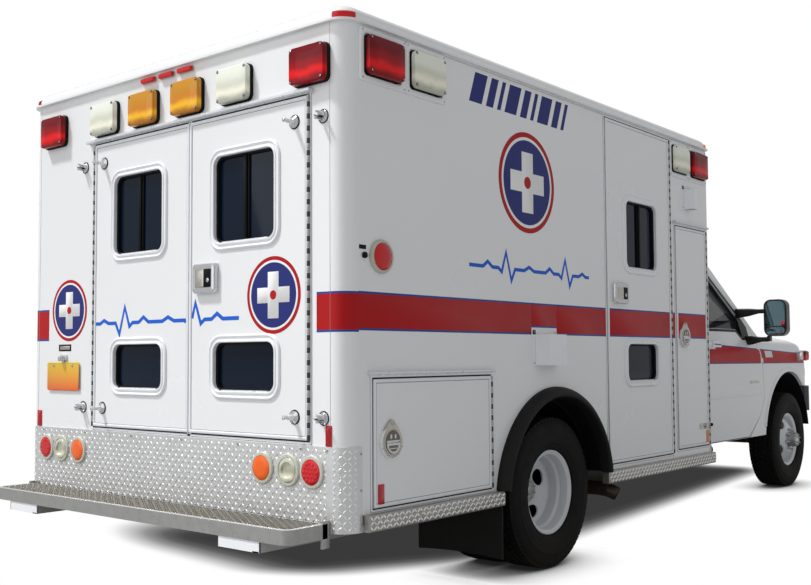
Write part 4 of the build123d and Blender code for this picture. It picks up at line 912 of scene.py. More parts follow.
def window_frame(face, u, v, sliding):
    """Rounded frame bead, inner track, black gasket and, on a slider, its middle bar."""
    cu, cv = (u[0] + u[1]) / 2, (v[0] + v[1]) / 2
    half_u, half_v = (u[1] - u[0]) / 2, (v[1] - v[0]) / 2

    def outline(grow):
        return rounded(cu, cv, half_u + grow, half_v + grow, WINDOW_RADIUS + grow, 8)

    def build(bm):
        stack(bm, face, [(outline(.036), LIP - .002), (outline(.036), LIP + .002),
                         (outline(.033), LIP + .007), (outline(.027), LIP + .0095),
                         (outline(.021), LIP + .007), (outline(.018), LIP + .0045),
                         (outline(.012), LIP + .0045), (outline(.008), LIP + .009),
                         (outline(.002), LIP + .010), (outline(-.001), LIP + .007), (outline(-.001), -.012),
                         (outline(.004), -.012)], 0, loop=True)
        stack(bm, face, [(outline(-.001), -.004), (outline(-.011), -.006), (outline(-.012), -.017),
                         (outline(-.001), -.017)], 1, loop=True)
        if sliding:
            block(bm, face, (cu - .006, cu + .010), (v[0] + .006, v[1] - .006), (-.017, -.002), 1)
            block(bm, face, (cu - .017, cu - .008), (v[0] + .006, v[1] - .006), (-.017, -.010), 1)
        block(bm, face, (u[0] + .05, u[1] - .05), (v[0] - .001, v[0] + .006), (-.014, LIP + .002), 2)
        block(bm, face, (cu - .022, cu + .022), (v[0] + .0055, v[0] + .011), (-.010, LIP - .002), 1)
    return build


for number, v in enumerate((UPPER_V, LOWER_V)):
    for name, face, u in (("rear_left", REAR_FACE, REAR_LEFT_U), ("rear_right", REAR_FACE, REAR_RIGHT_U),
                          ("entry", RIGHT_FACE, ENTRY_U)):
        made(f"{name}_window_{number}", window_frame(face, u, v, number == 0),
             (frame_paint, seal, rail_alloy), f"{name}_door")

# ---------------------------------------------------------------- door edges, hinges and latches
REAR_DOOR_V, ENTRY_V = (.770, 2.237), (.501, 2.506)
LEFT_LEAF_U, RIGHT_LEAF_U, ENTRY_LEAF_U = (-.197, .582), (-.994, -.203), (2.214, 3.049)
HINGE_OFF = .003  # from a leaf's edge to the middle of its hinge
# name, face, low and high u, low and high v, hinge u
DOORS = [
    ("rear_left_door", REAR_FACE, LEFT_LEAF_U, REAR_DOOR_V, .585),
    ("rear_right_door", REAR_FACE, RIGHT_LEAF_U, REAR_DOOR_V, -.997),
    ("entry_door", RIGHT_FACE, ENTRY_LEAF_U, ENTRY_V, 3.052),
]
# place, low and high u, low and high v, centre of the latch
LOCKERS = (("rear", (.171, 1.031), (.487, 1.026), (.277, .757)),
           ("front", (3.134, 3.605), (.520, 1.960), (3.237, 1.240)))
for face, tag, _ in SIDES:
    for place, u, v, _ in LOCKERS:
        DOORS.append((f"{tag}_{place}_locker_door", face, u, v, u[1] + HINGE_OFF))


def door_edge(face, u, v):
    """The extruded edge of a leaf: a raised outer bead and a fine inner line."""
    def build(bm):
        panels(bm, face, u, v, ((-.0005, .004, LIP - .002), (-.0005, .004, LIP + .0022),
                                (-.003, .004, LIP + .0042), (-.012, .003, LIP + .0042),
                                (-.0155, .003, LIP + .0004), (-.0155, .003, LIP - .002)), loop=True)
        panels(bm, face, u, v, ((-.0158, .003, LIP - .002), (-.0158, .003, LIP + .0003),
                                (-.0182, .003, LIP + .0003), (-.0182, .003, LIP - .002)), 1, loop=True)
    return build


def door_surround(face, u, v):
    """The frame of the opening: a black seal lip, a flat bright strip and its joint with the skin."""
    def build(bm):
        panels(bm, face, u, v, ((.0030, .004, -.020), (.0030, .004, .0012), (.0070, .004, .0014),
                                (.0070, .004, -.020)), 1, loop=True)
        panels(bm, face, u, v, ((.0070, .004, -.002), (.0070, .004, .0024), (.0150, .005, .0024),
                                (.0160, .005, .0006), (.0160, .005, -.002)), loop=True)
        panels(bm, face, u, v, ((.0160, .005, -.002), (.0160, .005, .0006), (.0175, .005, .0004),
                                (.0175, .005, -.002)), 2, loop=True)
    return build


KNUCKLE_PITCH = .026


def hinge_knuckles(face, u, v, odd):
    """Every second knuckle of a piano hinge."""
    def build(bm):
        count = int((v[1] - v[0]) / KNUCKLE_PITCH)
        step = (v[1] - v[0]) / count
        for k in range(odd, count, 2):
            spin(bm, face.at(u, v[0] + k * step, .007), (0, 0, 1), [
                (.0035, .0005), (.0068, .0005), (.0074, .002), (.0074, step - .003), (.0068, step - .0015),
                (.0035, step - .0015)], 12)
    return build


for name, face, u, v, hinge_u in DOORS:
    made(f"{name}_edge", door_edge(face, u, v), (frame_paint, seam_grey), name)
    made(f"{name}_surround", door_surround(face, u, v), (frame_paint, seal, seam_grey), "chassis")
    # the knuckles on each leaf are near black as painted shade of the hinge's gaps; those on the post stay
    # light
    made(f"{name}_hinge_leaf", hinge_knuckles(face, hinge_u, v, 0), (hinge_gap_shade,), name)
    made(f"{name}_hinge_post", hinge_knuckles(face, hinge_u, v, 1), (hinge_bright,), "chassis")


def paddle_latch(face, u, v, flip):
    """Chrome surround with a lifting paddle, a black block beside it as painted shade of the hollow, and a
    key lock whose slot is a black bar of painted shade.
    """
    cu, cv = (u[0] + u[1]) / 2, (v[0] + v[1]) / 2
    half_u, half_v = (u[1] - u[0]) / 2 + .002, (v[1] - v[0]) / 2 + .002
    top = LIP + .007

    def build(bm):
        plates(bm, face, cu, cv, ((half_u, half_v, .018, LIP), (half_u, half_v, .018, top + .012),
                                  (half_u - .004, half_v - .004, .016, top + .018),
                                  (half_u - .016, half_v - .022, .012, top + .0215),
                                  (half_u - .021, half_v - .026, .010, top + .020)))
        inner_u, inner_v = half_u - .022, half_v - .027
        # black block: painted shade of the hollow beside the paddle
        hollow_shade_u = sorted((cu + flip * inner_u, cu - flip * inner_u * .1))
        block(bm, face, hollow_shade_u, (cv - inner_v, cv + inner_v), (top + .015, top + .0212), 1, .0004)
        lift_u = sorted((cu - flip * inner_u, cu + flip * inner_u * .12))
        panels(bm, face, lift_u, (cv - inner_v, cv + inner_v), ((0, .004, top + .014),
                                                                (0, .004, top + .0215),
                                                                (-.006, .003, top + .024)), 2)
        lock_u = cu + flip * inner_u * .62
        discs(bm, face, lock_u, cv - .01, ((.010, top + .012), (.010, top + .022),
                                           (.007, top + .0235)), count=18)
        block(bm, face, (lock_u - .0012, lock_u + .0012), (cv - .015, cv - .005), (top + .02, top + .024), 1,
              .0003)
        corner_screws(bm, face, cu, cv, half_u - .012, half_v - .011, top + .0165, .0045, 0, 1)
    return build


made("rear_paddle", paddle_latch(REAR_FACE, (-.410, -.254), (1.420, 1.555), -1), (chrome, seal, steel),
     "rear_right_door")
made("entry_paddle", paddle_latch(RIGHT_FACE, (2.272, 2.431), (1.426, 1.546), 1), (chrome, seal, steel),
     "entry_door")


def teardrop(cu, cv, radius, peak):
    """A circle drawn out to a rounded point above."""
    points, count = [], 44
    for k in range(count):
        turn = 2 * pi * k / count
        rise = max(0, sin(turn))
        pull = rise ** 3
        points.append((cu + radius * cos(turn) * (1 - .42 * pull), cv + radius * sin(turn) + pull * peak))
    return points


def locker_latch(face, u, v):
    """Teardrop plate with a recessed bowl, a folding half-ring and a key lock above; the bowl, the inside of
    the ring and the key slot are in darker steel as painted shade.
    """
    def build(bm):
        def plate(grow, depth):
            return teardrop(u, v, .070 + grow, .026), depth
        stack(bm, face, [plate(0, LIP), plate(0, LIP + .010), plate(-.003, LIP + .014),
                         plate(-.010, LIP + .0155)], 0)
        discs(bm, face, u, v, ((.058, LIP + .012), (.058, LIP + .0175), (.053, LIP + .0185),
                               (.050, LIP + .0165)), count=44)
        discs(bm, face, u, v, ((.049, LIP + .012), (.049, LIP + .0168)), 1, count=40)
        turns = [-pi + pi * k / 16 for k in range(17)]
        half = [(u + .044 * cos(t), v - .004 + .044 * sin(t)) for t in turns]
        inner = [(u + .030 * cos(t), v - .014 + .026 * sin(t)) for t in turns]
        stack(bm, face, [(half, LIP + .014), (half, LIP + .0195)], 2)
        stack(bm, face, [(inner, LIP + .017), (inner, LIP + .0205)], 1)
        block(bm, face, (u - .044, u + .044), (v - .004, v + .008), (LIP + .014, LIP + .021), 2, .002)
        block(bm, face, (u - .026, u + .026), (v - .030, v - .024), (LIP + .017, LIP + .021), 2, .001)
        for su in (-1, 1):
            plates(bm, face, u + su * .014, v + .024, ((.006, .010, .006, LIP + .012),
                                                       (.006, .010, .006, LIP + .0182)), 2, steps=4)
        discs(bm, face, u, v + .083, ((.011, LIP + .010), (.011, LIP + .0175),
                                      (.008, LIP + .019)), count=18)
        block(bm, face, (u - .001, u + .001), (v + .078, v + .088), (LIP + .017, LIP + .0195), 1, .0003)
        ring_screws(bm, face, u, v, .064, LIP + .0148, .0035, 2, 1, first=200, apart=35, count=5)
    return build


for face, tag, _ in SIDES:
    for place, _, _, (latch_u, latch_v) in LOCKERS:
        made(f"{tag}_{place}_latch", locker_latch(face, latch_u, latch_v), (steel, recess_shade_steel, chrome),
             f"{tag}_{place}_locker_door")
        if place == "rear":
            made(f"{tag}_door_reflector",
                 lambda bm: block(bm, face, (.196, .234), (.498, .583), (LIP, LIP + .004)), (reflector,),
                 f"{tag}_rear_locker_door")

# ---------------------------------------------------------------- hold-open sockets and plungers
HOLD_OPEN_V = (2.133, .866)


def sockets(bm):
    """Cups on the wall that grip the doors' plungers: a dished foot and two prongs with a black core between
    them as painted shade of the slot.
    """
    for u, v in [(u, v) for u in (.680, -1.080) for v in HOLD_OPEN_V]:
        foot = REAR_FACE.at(u, v, 0)
        spin(bm, foot, (-1, 0, 0), [(0, 0), (.027, 0), (.027, .003), (.020, .007), (.017, .012), (0, .012)],
             24, 0)
        spin(bm, foot, (-1, 0, 0), [(.0275, 0), (.031, 0), (.030, .003), (.0275, .004)], 24, 1)
        for start in (0, 180):
            spin(bm, foot, (-1, 0, 0), [(.0080, .010), (.0190, .010), (.0185, .043), (.0150, .048),
                                        (.0100, .046)],
                 14, 0, radians(start + 34), radians(112))
        # black core: painted shade of the slot between the prongs
        discs(bm, REAR_FACE, u, v, ((.0074, .011), (.0074, .020)), 1, count=16)


def plunger(u, v):
    """A rubber-footed pin on a leaf that goes into the socket on the wall."""
    def build(bm):
        foot = REAR_FACE.at(u, v, LIP)
        spin(bm, foot, (-1, 0, 0), [(0, 0), (.028, 0), (.027, .005), (.019, .010), (.0125, .014),
                                    (.0095, .024), (.0085, .044), (.0085, .056), (.0105, .060), (.0100, .066),
                                    (.005, .070), (0, .0705)], 24, 0)
        spin(bm, foot, (-1, 0, 0), [(.0285, 0), (.032, 0), (.031, .003), (.0285, .004)], 24, 1)
    return build


made("hold_open_sockets", sockets, (chrome, seal), "chassis", stands_for=("wall_fittings",))
for door, u in (("rear_left_door", .500), ("rear_right_door", -.912)):
    for number, v in enumerate(HOLD_OPEN_V):
        made(f"{door}_plunger_{number}", plunger(u, v), (chrome, seal), door)


# ---------------------------------------------------------------- drip rails, plate and covers
def drip_rails(bm):
    """Rails over the rear doors and the lockers, each with a small lip below its foot."""
    def rail(face, u, v, reach):
        stack(bm, face, [(span(u, v, .0016, .001), 0), (span(u, v, .0016, .001), reach - .002),
                         (span(u, (v[0] + .003, v[1] - .002), .0016, .001), reach + .0016)], 0)
        panels(bm, face, u, (v[0] - .006, v[0] + .001), ((0, .001, 0), (0, .001, .006)))
    rail(REAR_FACE, (-1.019, .634), (2.250, 2.262), .028)
    for face, _, _ in SIDES:
        for _, u, v, _ in LOCKERS:
            rail(face, (u[0] - .030, u[1] + .015), (v[1] + .020, v[1] + .030), .024)


made("drip_rails", drip_rails, (rail_alloy,), "chassis")


def rear_plate(bm):
    """The blank plate, with a pressed rim."""
    panels(bm, REAR_FACE, (.711, 1.015), (.950, 1.100), ((0, .010, .008), (0, .010, .0095),
                                                         (-.003, .008, .0110), (-.006, .006, .0095)), steps=5)


def plate_fittings(bm):
    """The plate's backing, bolts and lamp, and the label above it."""
    block(bm, REAR_FACE, (.720, 1.006), (.960, 1.090), (0, .008), 1)
    for u in (.774, .952):
        screw(bm, REAR_FACE, u, 1.084, .0108, .007, 0, 2)
    block(bm, REAR_FACE, (.835, .893), (1.112, 1.140), (0, .012), 0, .002)
    stack(bm, REAR_FACE, [(span((.843, .885), (1.108, 1.136), 0, .006, 4), .010),
                          (span((.847, .881), (1.106, 1.134), 0, .006, 4), .026),
                          (span((.853, .875), (1.106, 1.128), 0, .006, 4), .034)], 0)
    block(bm, REAR_FACE, (.800, .918), (1.160, 1.196), (0, .001), 2, .0003)
    block(bm, REAR_FACE, (.812, .905), (1.168, 1.188), (.0008, .0014), 1, .0002)


made("rear_plate", rear_plate, (plate_paint,), "chassis")
made("plate_fittings", plate_fittings, (chrome, steel, seal), "chassis")


def hooded_cover(bm, face, u, v, reach):
    """A folded cover: slanted rear cheek, flat front, flange above and behind, open below."""
    flange, fold = .022, .030
    rear_u, front_u = u[0] + flange, u[1]
    low_v, high_v = v[0], v[1] - flange
    block(bm, face, (u[0], u[1]), (high_v - .002, v[1]), (0, .003), 0)
    block(bm, face, (u[0], rear_u + .003), (v[0], v[1]), (0, .003), 0)
    section = [(rear_u, 0), (rear_u + fold, reach), (front_u - .004, reach), (front_u, reach - .004),
               (front_u, 0)]
    wall = .003
    inner = [(rear_u + wall, 0), (rear_u + fold + wall, reach - wall), (front_u - wall - .002, reach - wall),
             (front_u - wall, reach - wall - .004), (front_u - wall, 0)]
    outer_rows = [[bm.verts.new(face.at(a, level, d)) for a, d in section] for level in (low_v, high_v)]
    inner_rows = [[bm.verts.new(face.at(a, level, d)) for a, d in inner] for level in (low_v, high_v - wall)]
    for rows, flip in ((outer_rows, False), (inner_rows, True)):
        for k in range(4):
            corners = [rows[0][k], rows[0][k + 1], rows[1][k + 1], rows[1][k]]
            bm.faces.new(corners[::-1] if flip else corners)
        bm.faces.new(rows[1] if flip else rows[1][::-1])
    for k in range(4):
        bm.faces.new((outer_rows[0][k + 1], outer_rows[0][k], inner_rows[0][k], inner_rows[0][k + 1]))
    for at_u, at_v in ((u[0] + .010, v[0] + .012), (u[0] + .010, v[1] - .010), (u[1] - .012, v[1] - .010)):
        screw(bm, face, at_u, at_v, .003, .005, 1, 2)


OUTLET_U = (1.420, 1.646)
made("outlet_cover", lambda bm: hooded_cover(bm, RIGHT_FACE, OUTLET_U, (1.072, 1.255), .070),
     (frame_paint, steel, seal), "chassis")
for face, tag, side in SIDES:
    made(f"{tag}_vent_cover", lambda bm: hooded_cover(bm, face, (3.262, 3.376), (2.086, 2.240), .060),
         (frame_paint, steel, seal), "chassis")

# ---------------------------------------------------------------- livery
THIN = .0006
STRIPE_V = (1.231, 1.395)
EDGE = .009
OUTLET_TOP = 1.268  # the stripe's lower edge over the outlet cover


def banded(bm, face, u, v, d):
    """A red stripe with a blue line along its top and bottom."""
    block(bm, face, u, (v[0] + EDGE, v[1] - EDGE), (d, d + THIN), 0, .0001)
    block(bm, face, u, (v[0], v[0] + EDGE), (d, d + THIN), 1, .0001)
    block(bm, face, u, (v[1] - EDGE, v[1]), (d, d + THIN), 1, .0001)


def side_stripes(face, tag):
    """The stripe on a side's wall and the doors that it crosses; on the right it clears the outlet cover."""
    crossing = sorted((u, name) for name, on, u, v, _ in DOORS
                      if on is face and v[0] < STRIPE_V[0] and v[1] > STRIPE_V[1])
    start, gap = CORNER, (1.408, 1.655)
    wall_runs = []
    for (door_low, door_high), name in crossing:
        wall_runs.append((start, door_low - .010))
        made(f"{name}_stripe", lambda bm: banded(bm, face, (door_low + .022, door_high - .022), STRIPE_V,
                                                 LIP),
             (stripe_red, stripe_blue), name)
        start = door_high + .018

    def walls(bm):
        for low_u, high_u in wall_runs:
            if tag == "right" and low_u < OUTLET_U[0] < high_u:
                banded(bm, face, (low_u, gap[0]), STRIPE_V, 0)
                banded(bm, face, (gap[1], high_u), STRIPE_V, 0)
                block(bm, face, gap, (OUTLET_TOP + EDGE, STRIPE_V[1] - EDGE), (0, THIN), 0, .0001)
                block(bm, face, gap, (OUTLET_TOP, OUTLET_TOP + EDGE), (0, THIN), 1, .0001)
                block(bm, face, gap, (STRIPE_V[1] - EDGE, STRIPE_V[1]), (0, THIN), 1, .0001)
            elif high_u - low_u > .02:
                banded(bm, face, (low_u, high_u), STRIPE_V, 0)
    made(f"{tag}_wall_stripe", walls, (stripe_red, stripe_blue), "chassis")


for face, tag, _ in SIDES:
    side_stripes(face, tag)


def corner_stripes(bm):
    """The stripe's wrap from the side onto the rear face, round the corner post."""
    for side, end in ((1, 1.018), (-1, 1.039)):
        v = (1.217, 1.388) if side > 0 else (1.224, 1.393)
        turned = [(side * (HALF + THIN), REAR + CORNER)]
        for k in range(9):
            angle = radians(90 * k / 8)
            turned.append((side * (HALF - CORNER + (CORNER + THIN) * cos(angle)),
                           REAR + CORNER - (CORNER + THIN) * sin(angle)))
        turned.append((side * end, REAR - THIN))
        bands = ((v[0], v[0] + EDGE, 1), (v[0] + EDGE, v[1] - EDGE, 0), (v[1] - EDGE, v[1], 1))
        for low_v, high_v, mat in bands:
            outer = [[bm.verts.new((x, y, z)) for y, x in turned] for z in (low_v, high_v)]
            for k in range(len(turned) - 1):
                bm.faces.new((outer[0][k], outer[0][k + 1], outer[1][k + 1],
                              outer[1][k])).material_index = mat


made("corner_stripes", corner_stripes, (stripe_red, stripe_blue), "chassis")


def roundel(face, cu, cv, radius, d):
    """A plain emblem: red ring, white ring, blue field and a white cross with a rounded heart."""
    def build(bm):
        for ring, depth, mat in ((1, 1, 0), (.90, 1.5, 1), (.84, 2, 2)):
            discs(bm, face, cu, cv, ((radius * ring, d), (radius * ring, d + THIN * depth)), mat, count=64)
        arm, width = radius * .60, radius * .20
        block(bm, face, (cu - arm, cu + arm), (cv - width, cv + width), (d, d + THIN * 2.6), 1, .0001)
        block(bm, face, (cu - width, cu + width), (cv - arm, cv + arm), (d, d + THIN * 2.8), 1, .0001)
        discs(bm, face, cu, cv, ((radius * .12, d), (radius * .12, d + THIN * 3.2)))
    return build


ROUNDEL = (stripe_red, decal_white, deep_blue)
made("rear_left_roundel", roundel(REAR_FACE, .820, 1.378, .165, 0), ROUNDEL, "chassis")
made("rear_right_roundel", roundel(REAR_FACE, -.780, 1.392, .170, LIP), ROUNDEL, "rear_right_door")
for face, tag, side in SIDES:
    made(f"{tag}_roundel", roundel(face, 1.385, 2.015, .262, 0), ROUNDEL, "chassis")

# a pulse line: share along its length, height as a share of the zone
PULSE = ((0, .42), (.10, .42), (.135, .60), (.17, .42), (.215, .42), (.24, .28), (.275, 1.0), (.315, 0),
         (.345, .42), (.42, .42), (.46, .56), (.50, .42), (.60, .42), (.635, .60), (.67, .42), (.715, .42),
         (.74, .28), (.775, 1.0), (.815, 0), (.845, .42), (.90, .42), (.935, .54), (.965, .42), (1.0, .42))
PULSE_THICK = .018


def pulse(face, u, v, d, keep):
    """The part of a pulse line that falls within keep, drawn as mitred bars."""
    points = [(u[0] + share * (u[1] - u[0]), v[0] + PULSE_THICK / 2 + rise * (v[1] - v[0] - PULSE_THICK))
              for share, rise in PULSE]

    def build(bm):
        run = []
        for (a, b), (c, e) in zip(points, points[1:]):
            low_u, high_u = max(min(a, c), keep[0]), min(max(a, c), keep[1])
            if high_u - low_u < 1e-4:
                continue
            level = [b + (e - b) * (at - a) / (c - a) for at in (low_u, high_u)]
            if not run:
                run.append((low_u, level[0]))
            run.append((high_u, level[1]))
        edges = []
        for k, (a, b) in enumerate(run):
            before, after = run[max(k - 1, 0)], run[min(k + 1, len(run) - 1)]
            first = Vector((a - before[0], b - before[1])).normalized() if k else None
            second = Vector((after[0] - a, after[1] - b)).normalized() if k < len(run) - 1 else None
            one, two = first or second, second or first
            normal = (Vector((-one.y, one.x)) + Vector((-two.y, two.x))).normalized()
            reach = PULSE_THICK / 2 / max(.45, normal.dot(Vector((-one.y, one.x))))
            edges.append(((a + normal.x * reach, b + normal.y * reach),
                          (a - normal.x * reach, b - normal.y * reach)))
        for (a, b), (c, e) in zip(edges, edges[1:]):
            stack(bm, face, [([a, b, e, c], d), ([a, b, e, c], d + THIN)], 0)
    return build


for side, keep in (("left", (-.176, .563)), ("right", (-.555, -.224))):
    made(f"rear_pulse_{side}", pulse(REAR_FACE, (-.555, .563), (1.232, 1.387), LIP, keep), (word_blue,),
         f"rear_{side}_door")
for face, tag, side in SIDES:
    made(f"{tag}_pulse", pulse(face, (.868, 2.010), (1.490, 1.648), 0, (0, 3)), (word_blue,), "chassis")


def slanted_bars(face):
    """A row of slanted bars of three widths in the high zone of the side."""
    def build(bm):
        start, end, low_v, high_v, lean = .878, 1.932, 2.350, 2.500, .055
        widths = (.105, .060, .030)
        at, index = start, 0
        while at + widths[index % 3] + lean <= end:
            width = widths[index % 3]
            bar = [(at, low_v), (at + width, low_v), (at + width + lean, high_v), (at + lean, high_v)]
            stack(bm, face, [(bar, 0), (bar, THIN)], 0)
            at += width + .036
            index += 1
    return build


for face, tag, side in SIDES:
    made(f"{tag}_bars", slanted_bars(face), (deep_blue,), "chassis")

# ---------------------------------------------------------------- tread plate, rub rails and step
KICK_V = (.397, .749)


CORNER_STEPS = 12


def kick_plate(bm):
    """Tread plate across the rear, with small patches of tread round each corner."""
    reach = .004

    def line_at(out):
        """The plate's outline in plan, this far out of the body."""
        half = [(REAR + .100, HALF + out)]
        for k in range(CORNER_STEPS + 1):
            angle = radians(90 * k / CORNER_STEPS)
            half.append((REAR + CORNER - (CORNER + out) * sin(angle),
                         HALF - CORNER + (CORNER + out) * cos(angle)))
        return half + [(x, -y) for x, y in half[::-1]]
    outline, inner = line_at(reach), line_at(0)
    rows = [[bm.verts.new((x, y, z)) for x, y in line] for line, z in
            ((outline, KICK_V[0]), (outline, KICK_V[1]), (inner, KICK_V[1]), (inner, KICK_V[0]))]
    for a, b in zip(rows, rows[1:] + rows[:1]):
        for k in range(len(a) - 1):
            bm.faces.new((a[k], a[k + 1], b[k + 1], b[k]))
    for end in (0, -1):
        bm.faces.new([row[end] for row in rows])
    lozenges(bm, REAR_FACE, (-HALF + CORNER, HALF - CORNER), KICK_V, reach, mat=3)
    for side in (-1, 1):
        for step in range(1, 6):
            angle = radians(90 * step / 6)
            out = Vector((-sin(angle), side * cos(angle), 0))
            along = Vector((-cos(angle), -side * sin(angle), 0))
            centre = Vector((REAR + CORNER, side * (HALF - CORNER), 0)) + out * (CORNER + reach)
            patch = Face(centre, along, (0, 0, 1), out)
            lozenges(bm, patch, (-.0122, .0122), KICK_V, -.0003, mat=3, phase=step)
    for u in (-.95, -.55, -.15, .25, .65, 1.05, -1.10):
        screw(bm, REAR_FACE, u, KICK_V[1] - .014, reach, .0075, 1, 2)
    for side in (-1, 1):
        for v in (.43, .57, .72):
            screw(bm, RIGHT_FACE if side < 0 else LEFT_FACE, .092, v, reach, .0055, 1, 2)


made("kick_plate", kick_plate, (kick_alloy, steel, seal, tread_bar_highlight), "chassis",
     stands_for=("step_and_plates",))


RUB_V, RUB_REACH = (.396, SKIRT), .035


def rub_rails(bm):
    """Rails of tread plate along the foot of each side, before and behind the rear wheels."""
    mid_v = (RUB_V[0] + RUB_V[1]) / 2
    for face, _, _ in SIDES:
        for u in ((.107, 1.106), (2.150, 3.646)):
            panels(bm, face, u, RUB_V, ((0, .004, -.010), (0, .004, RUB_REACH - .004),
                                        (-.004, .004, RUB_REACH)))
            lozenges(bm, face, (u[0] + .006, u[1] - .006), (RUB_V[0] + .002, RUB_V[1] - .002), RUB_REACH,
                     pitch=.0205, length=.0265, width=.0082, height=.0030, mat=3)
            count = int((u[1] - u[0]) / .30)
            for k in range(count + 1):
                screw(bm, face, u[0] + .03 + k * (u[1] - u[0] - .06) / count, mid_v, RUB_REACH, .006, 1, 2)


made("rub_rails", rub_rails, (rail_tread_dust_and_shade, steel, seal, tread_bar_highlight), "chassis")

STEP_HALF, STEP_TOP, STEP_DEEP = 1.12, .440, .060


def step_frame(bm):
    """Channel that runs round the rear step, with brackets and arms below."""
    outer_x, inner_x = TAIL, REAR - .020
    cut, wall, lip = .050, .005, .024
    bottom = STEP_TOP - STEP_DEEP
    plan = [(inner_x, STEP_HALF)]
    for k in range(7):
        angle = radians(15 * k)
        plan.append((outer_x + cut - cut * sin(angle), STEP_HALF - cut + cut * cos(angle)))
    plan = plan + [(x, -y) for x, y in plan[::-1]]

    def inset(amount):
        """The channel's outline in plan, drawn in by an amount."""
        shifted = []
        for x, y in plan:
            side = 1 if y > 0 else -1
            turned = Vector((x - (outer_x + cut), abs(y) - (STEP_HALF - cut)))
            if turned.x < 0 and turned.y > 0:
                moved = turned.normalized() * (cut - amount)
                shifted.append((outer_x + cut + moved.x, side * (STEP_HALF - cut + moved.y)))
            elif x < outer_x + cut:
                shifted.append((x + amount, y))
            else:
                shifted.append((x, side * (abs(y) - amount)))
        return shifted
    section = [(0, bottom), (0, STEP_TOP), (lip, STEP_TOP), (lip, STEP_TOP - wall), (wall, STEP_TOP - wall),
               (wall, bottom + wall), (lip, bottom + wall), (lip, bottom)]
    rows = [[bm.verts.new((x, y, z)) for x, y in inset(amount)] for amount, z in section]
    for a, b in zip(rows, rows[1:] + rows[:1]):
        for k in range(len(a) - 1):
            part = bm.faces.new((a[k], a[k + 1], b[k + 1], b[k]))
            # faces along the top edge take the bright alloy: a painted highlight
            bright = min(vert.co.z for vert in part.verts) > STEP_TOP - .012  # the top edge
            part.material_index = 2 if bright else 0
    for end in (0, -1):
        bm.faces.new([row[end] for row in rows])
    back_y = (-STEP_HALF + .006, STEP_HALF - .006)
    block(bm, PLAN, (inner_x - .008, inner_x), back_y, (bottom, STEP_TOP), 0)
    arm_x, arm_z = (TAIL + .004, REAR + .280), (STEP_TOP - .105, bottom)
    for side in (-1, 1):
        arm = sorted((side * .700, side * .960))
        block(bm, PLAN, arm_x, (arm[0], arm[0] + .006), arm_z, 0)
        block(bm, PLAN, arm_x, (arm[1] - .006, arm[1]), arm_z, 0)
        block(bm, PLAN, (arm_x[0], TAIL + .010), arm, arm_z, 1)
        block(bm, PLAN, arm_x, (arm[0] + .006, arm[0] + .045), (arm_z[0], STEP_TOP - .099), 0)
        brace = sorted((side * (STEP_HALF - .012), side * STEP_HALF))
        block(bm, PLAN, (inner_x - .030, inner_x + .012), brace, (STEP_TOP - .100, STEP_TOP + .012), 0)


def grating(bm):
    """Grip strut: upright zigzag strips with saw teeth along their tops, meeting in open diamonds."""
    strips, thick, tall, teeth = 12, .0040, .020, 3
    period, notch = .052, .006
    first, last = TAIL + .030, REAR - .030
    pitch = (last - first) / (strips - 1)
    swing = pitch * .40
    length = 2 * (STEP_HALF - .030)
    count = int(length / period) * 2
    for strip in range(strips):
        centre_x = first + strip * pitch
        for k in range(count):
            y0, y1 = -length / 2 + k * length / count, -length / 2 + (k + 1) * length / count
            sign = 1 if (k + strip) % 2 else -1
            x0, x1 = centre_x - sign * swing, centre_x + sign * swing
            start, run = Vector((x0, y0)), Vector((x1 - x0, y1 - y0))
            across = Vector((-run.y, run.x)).normalized() * thick / 2
            tops = []
            for t in range(2 * teeth + 1):
                tops.append((start + run * (t / (2 * teeth)), STEP_TOP + (0 if t % 2 else -notch)))
            rows = []
            for way in (-1, 1):
                shifted = [(p.x + way * across.x, p.y + way * across.y, z) for p, z in tops]
                low_row = [bm.verts.new((x, y, STEP_TOP - tall)) for x, y, z in shifted]
                rows.append((low_row, [bm.verts.new(point) for point in shifted]))
            (la, ta), (lb, tb) = rows
            for t in range(2 * teeth):
                bm.faces.new((la[t], la[t + 1], ta[t + 1], ta[t]))
                bm.faces.new((lb[t + 1], lb[t], tb[t], tb[t + 1]))
                bm.faces.new((ta[t], ta[t + 1], tb[t + 1], tb[t]))
                bm.faces.new((la[t + 1], la[t], lb[t], lb[t + 1]))
            bm.faces.new((la[0], ta[0], tb[0], lb[0]))
            bm.faces.new((la[-1], lb[-1], tb[-1], ta[-1]))


made("rear_step", step_frame, (step_alloy, frame_paint, alloy), "chassis")
made("step_grating", grating, (grate_alloy,), "chassis")

# ---------------------------------------------------------------- flares, wheel housings and mud flaps
ARCH = .505


def flare(side):
    """Rolled rubber fender: a fat rounded band over the wheel opening, cut off at the rub rail."""
    def build(bm):
        section = [(ARCH, -.008), (ARCH, .044), (ARCH + .004, .055), (ARCH + .013, .060), (ARCH + .026, .057),
                   (ARCH + .040, .046), (ARCH + .050, .030), (ARCH + .055, .012), (ARCH + .055, 0)]
        start = -asin((WHEEL_Z - SKIRT - .004) / (ARCH + .055))
        spin(bm, (AXLE_R - .012, side * HALF, WHEEL_Z), (0, side, 0), section, 64, 0, start, pi - 2 * start)
    return build


def wheel_house(side):
    """The inner drum over a pair of rear wheels and the ring at its mouth."""
    def build(bm):
        spin(bm, (AXLE_R, side * .66, WHEEL_Z), (0, side, 0), [
            (.498, 0), (.5046, 0), (.5046, .5385), (.498, .5385)], 56, 0, radians(8), radians(164))
        spin(bm, (AXLE_R, side * 1.10, WHEEL_Z), (0, side, 0), [
            (.486, 0), (.498, 0), (.498, .006), (.486, .006)], 56, 0, radians(9), radians(162))
    return build


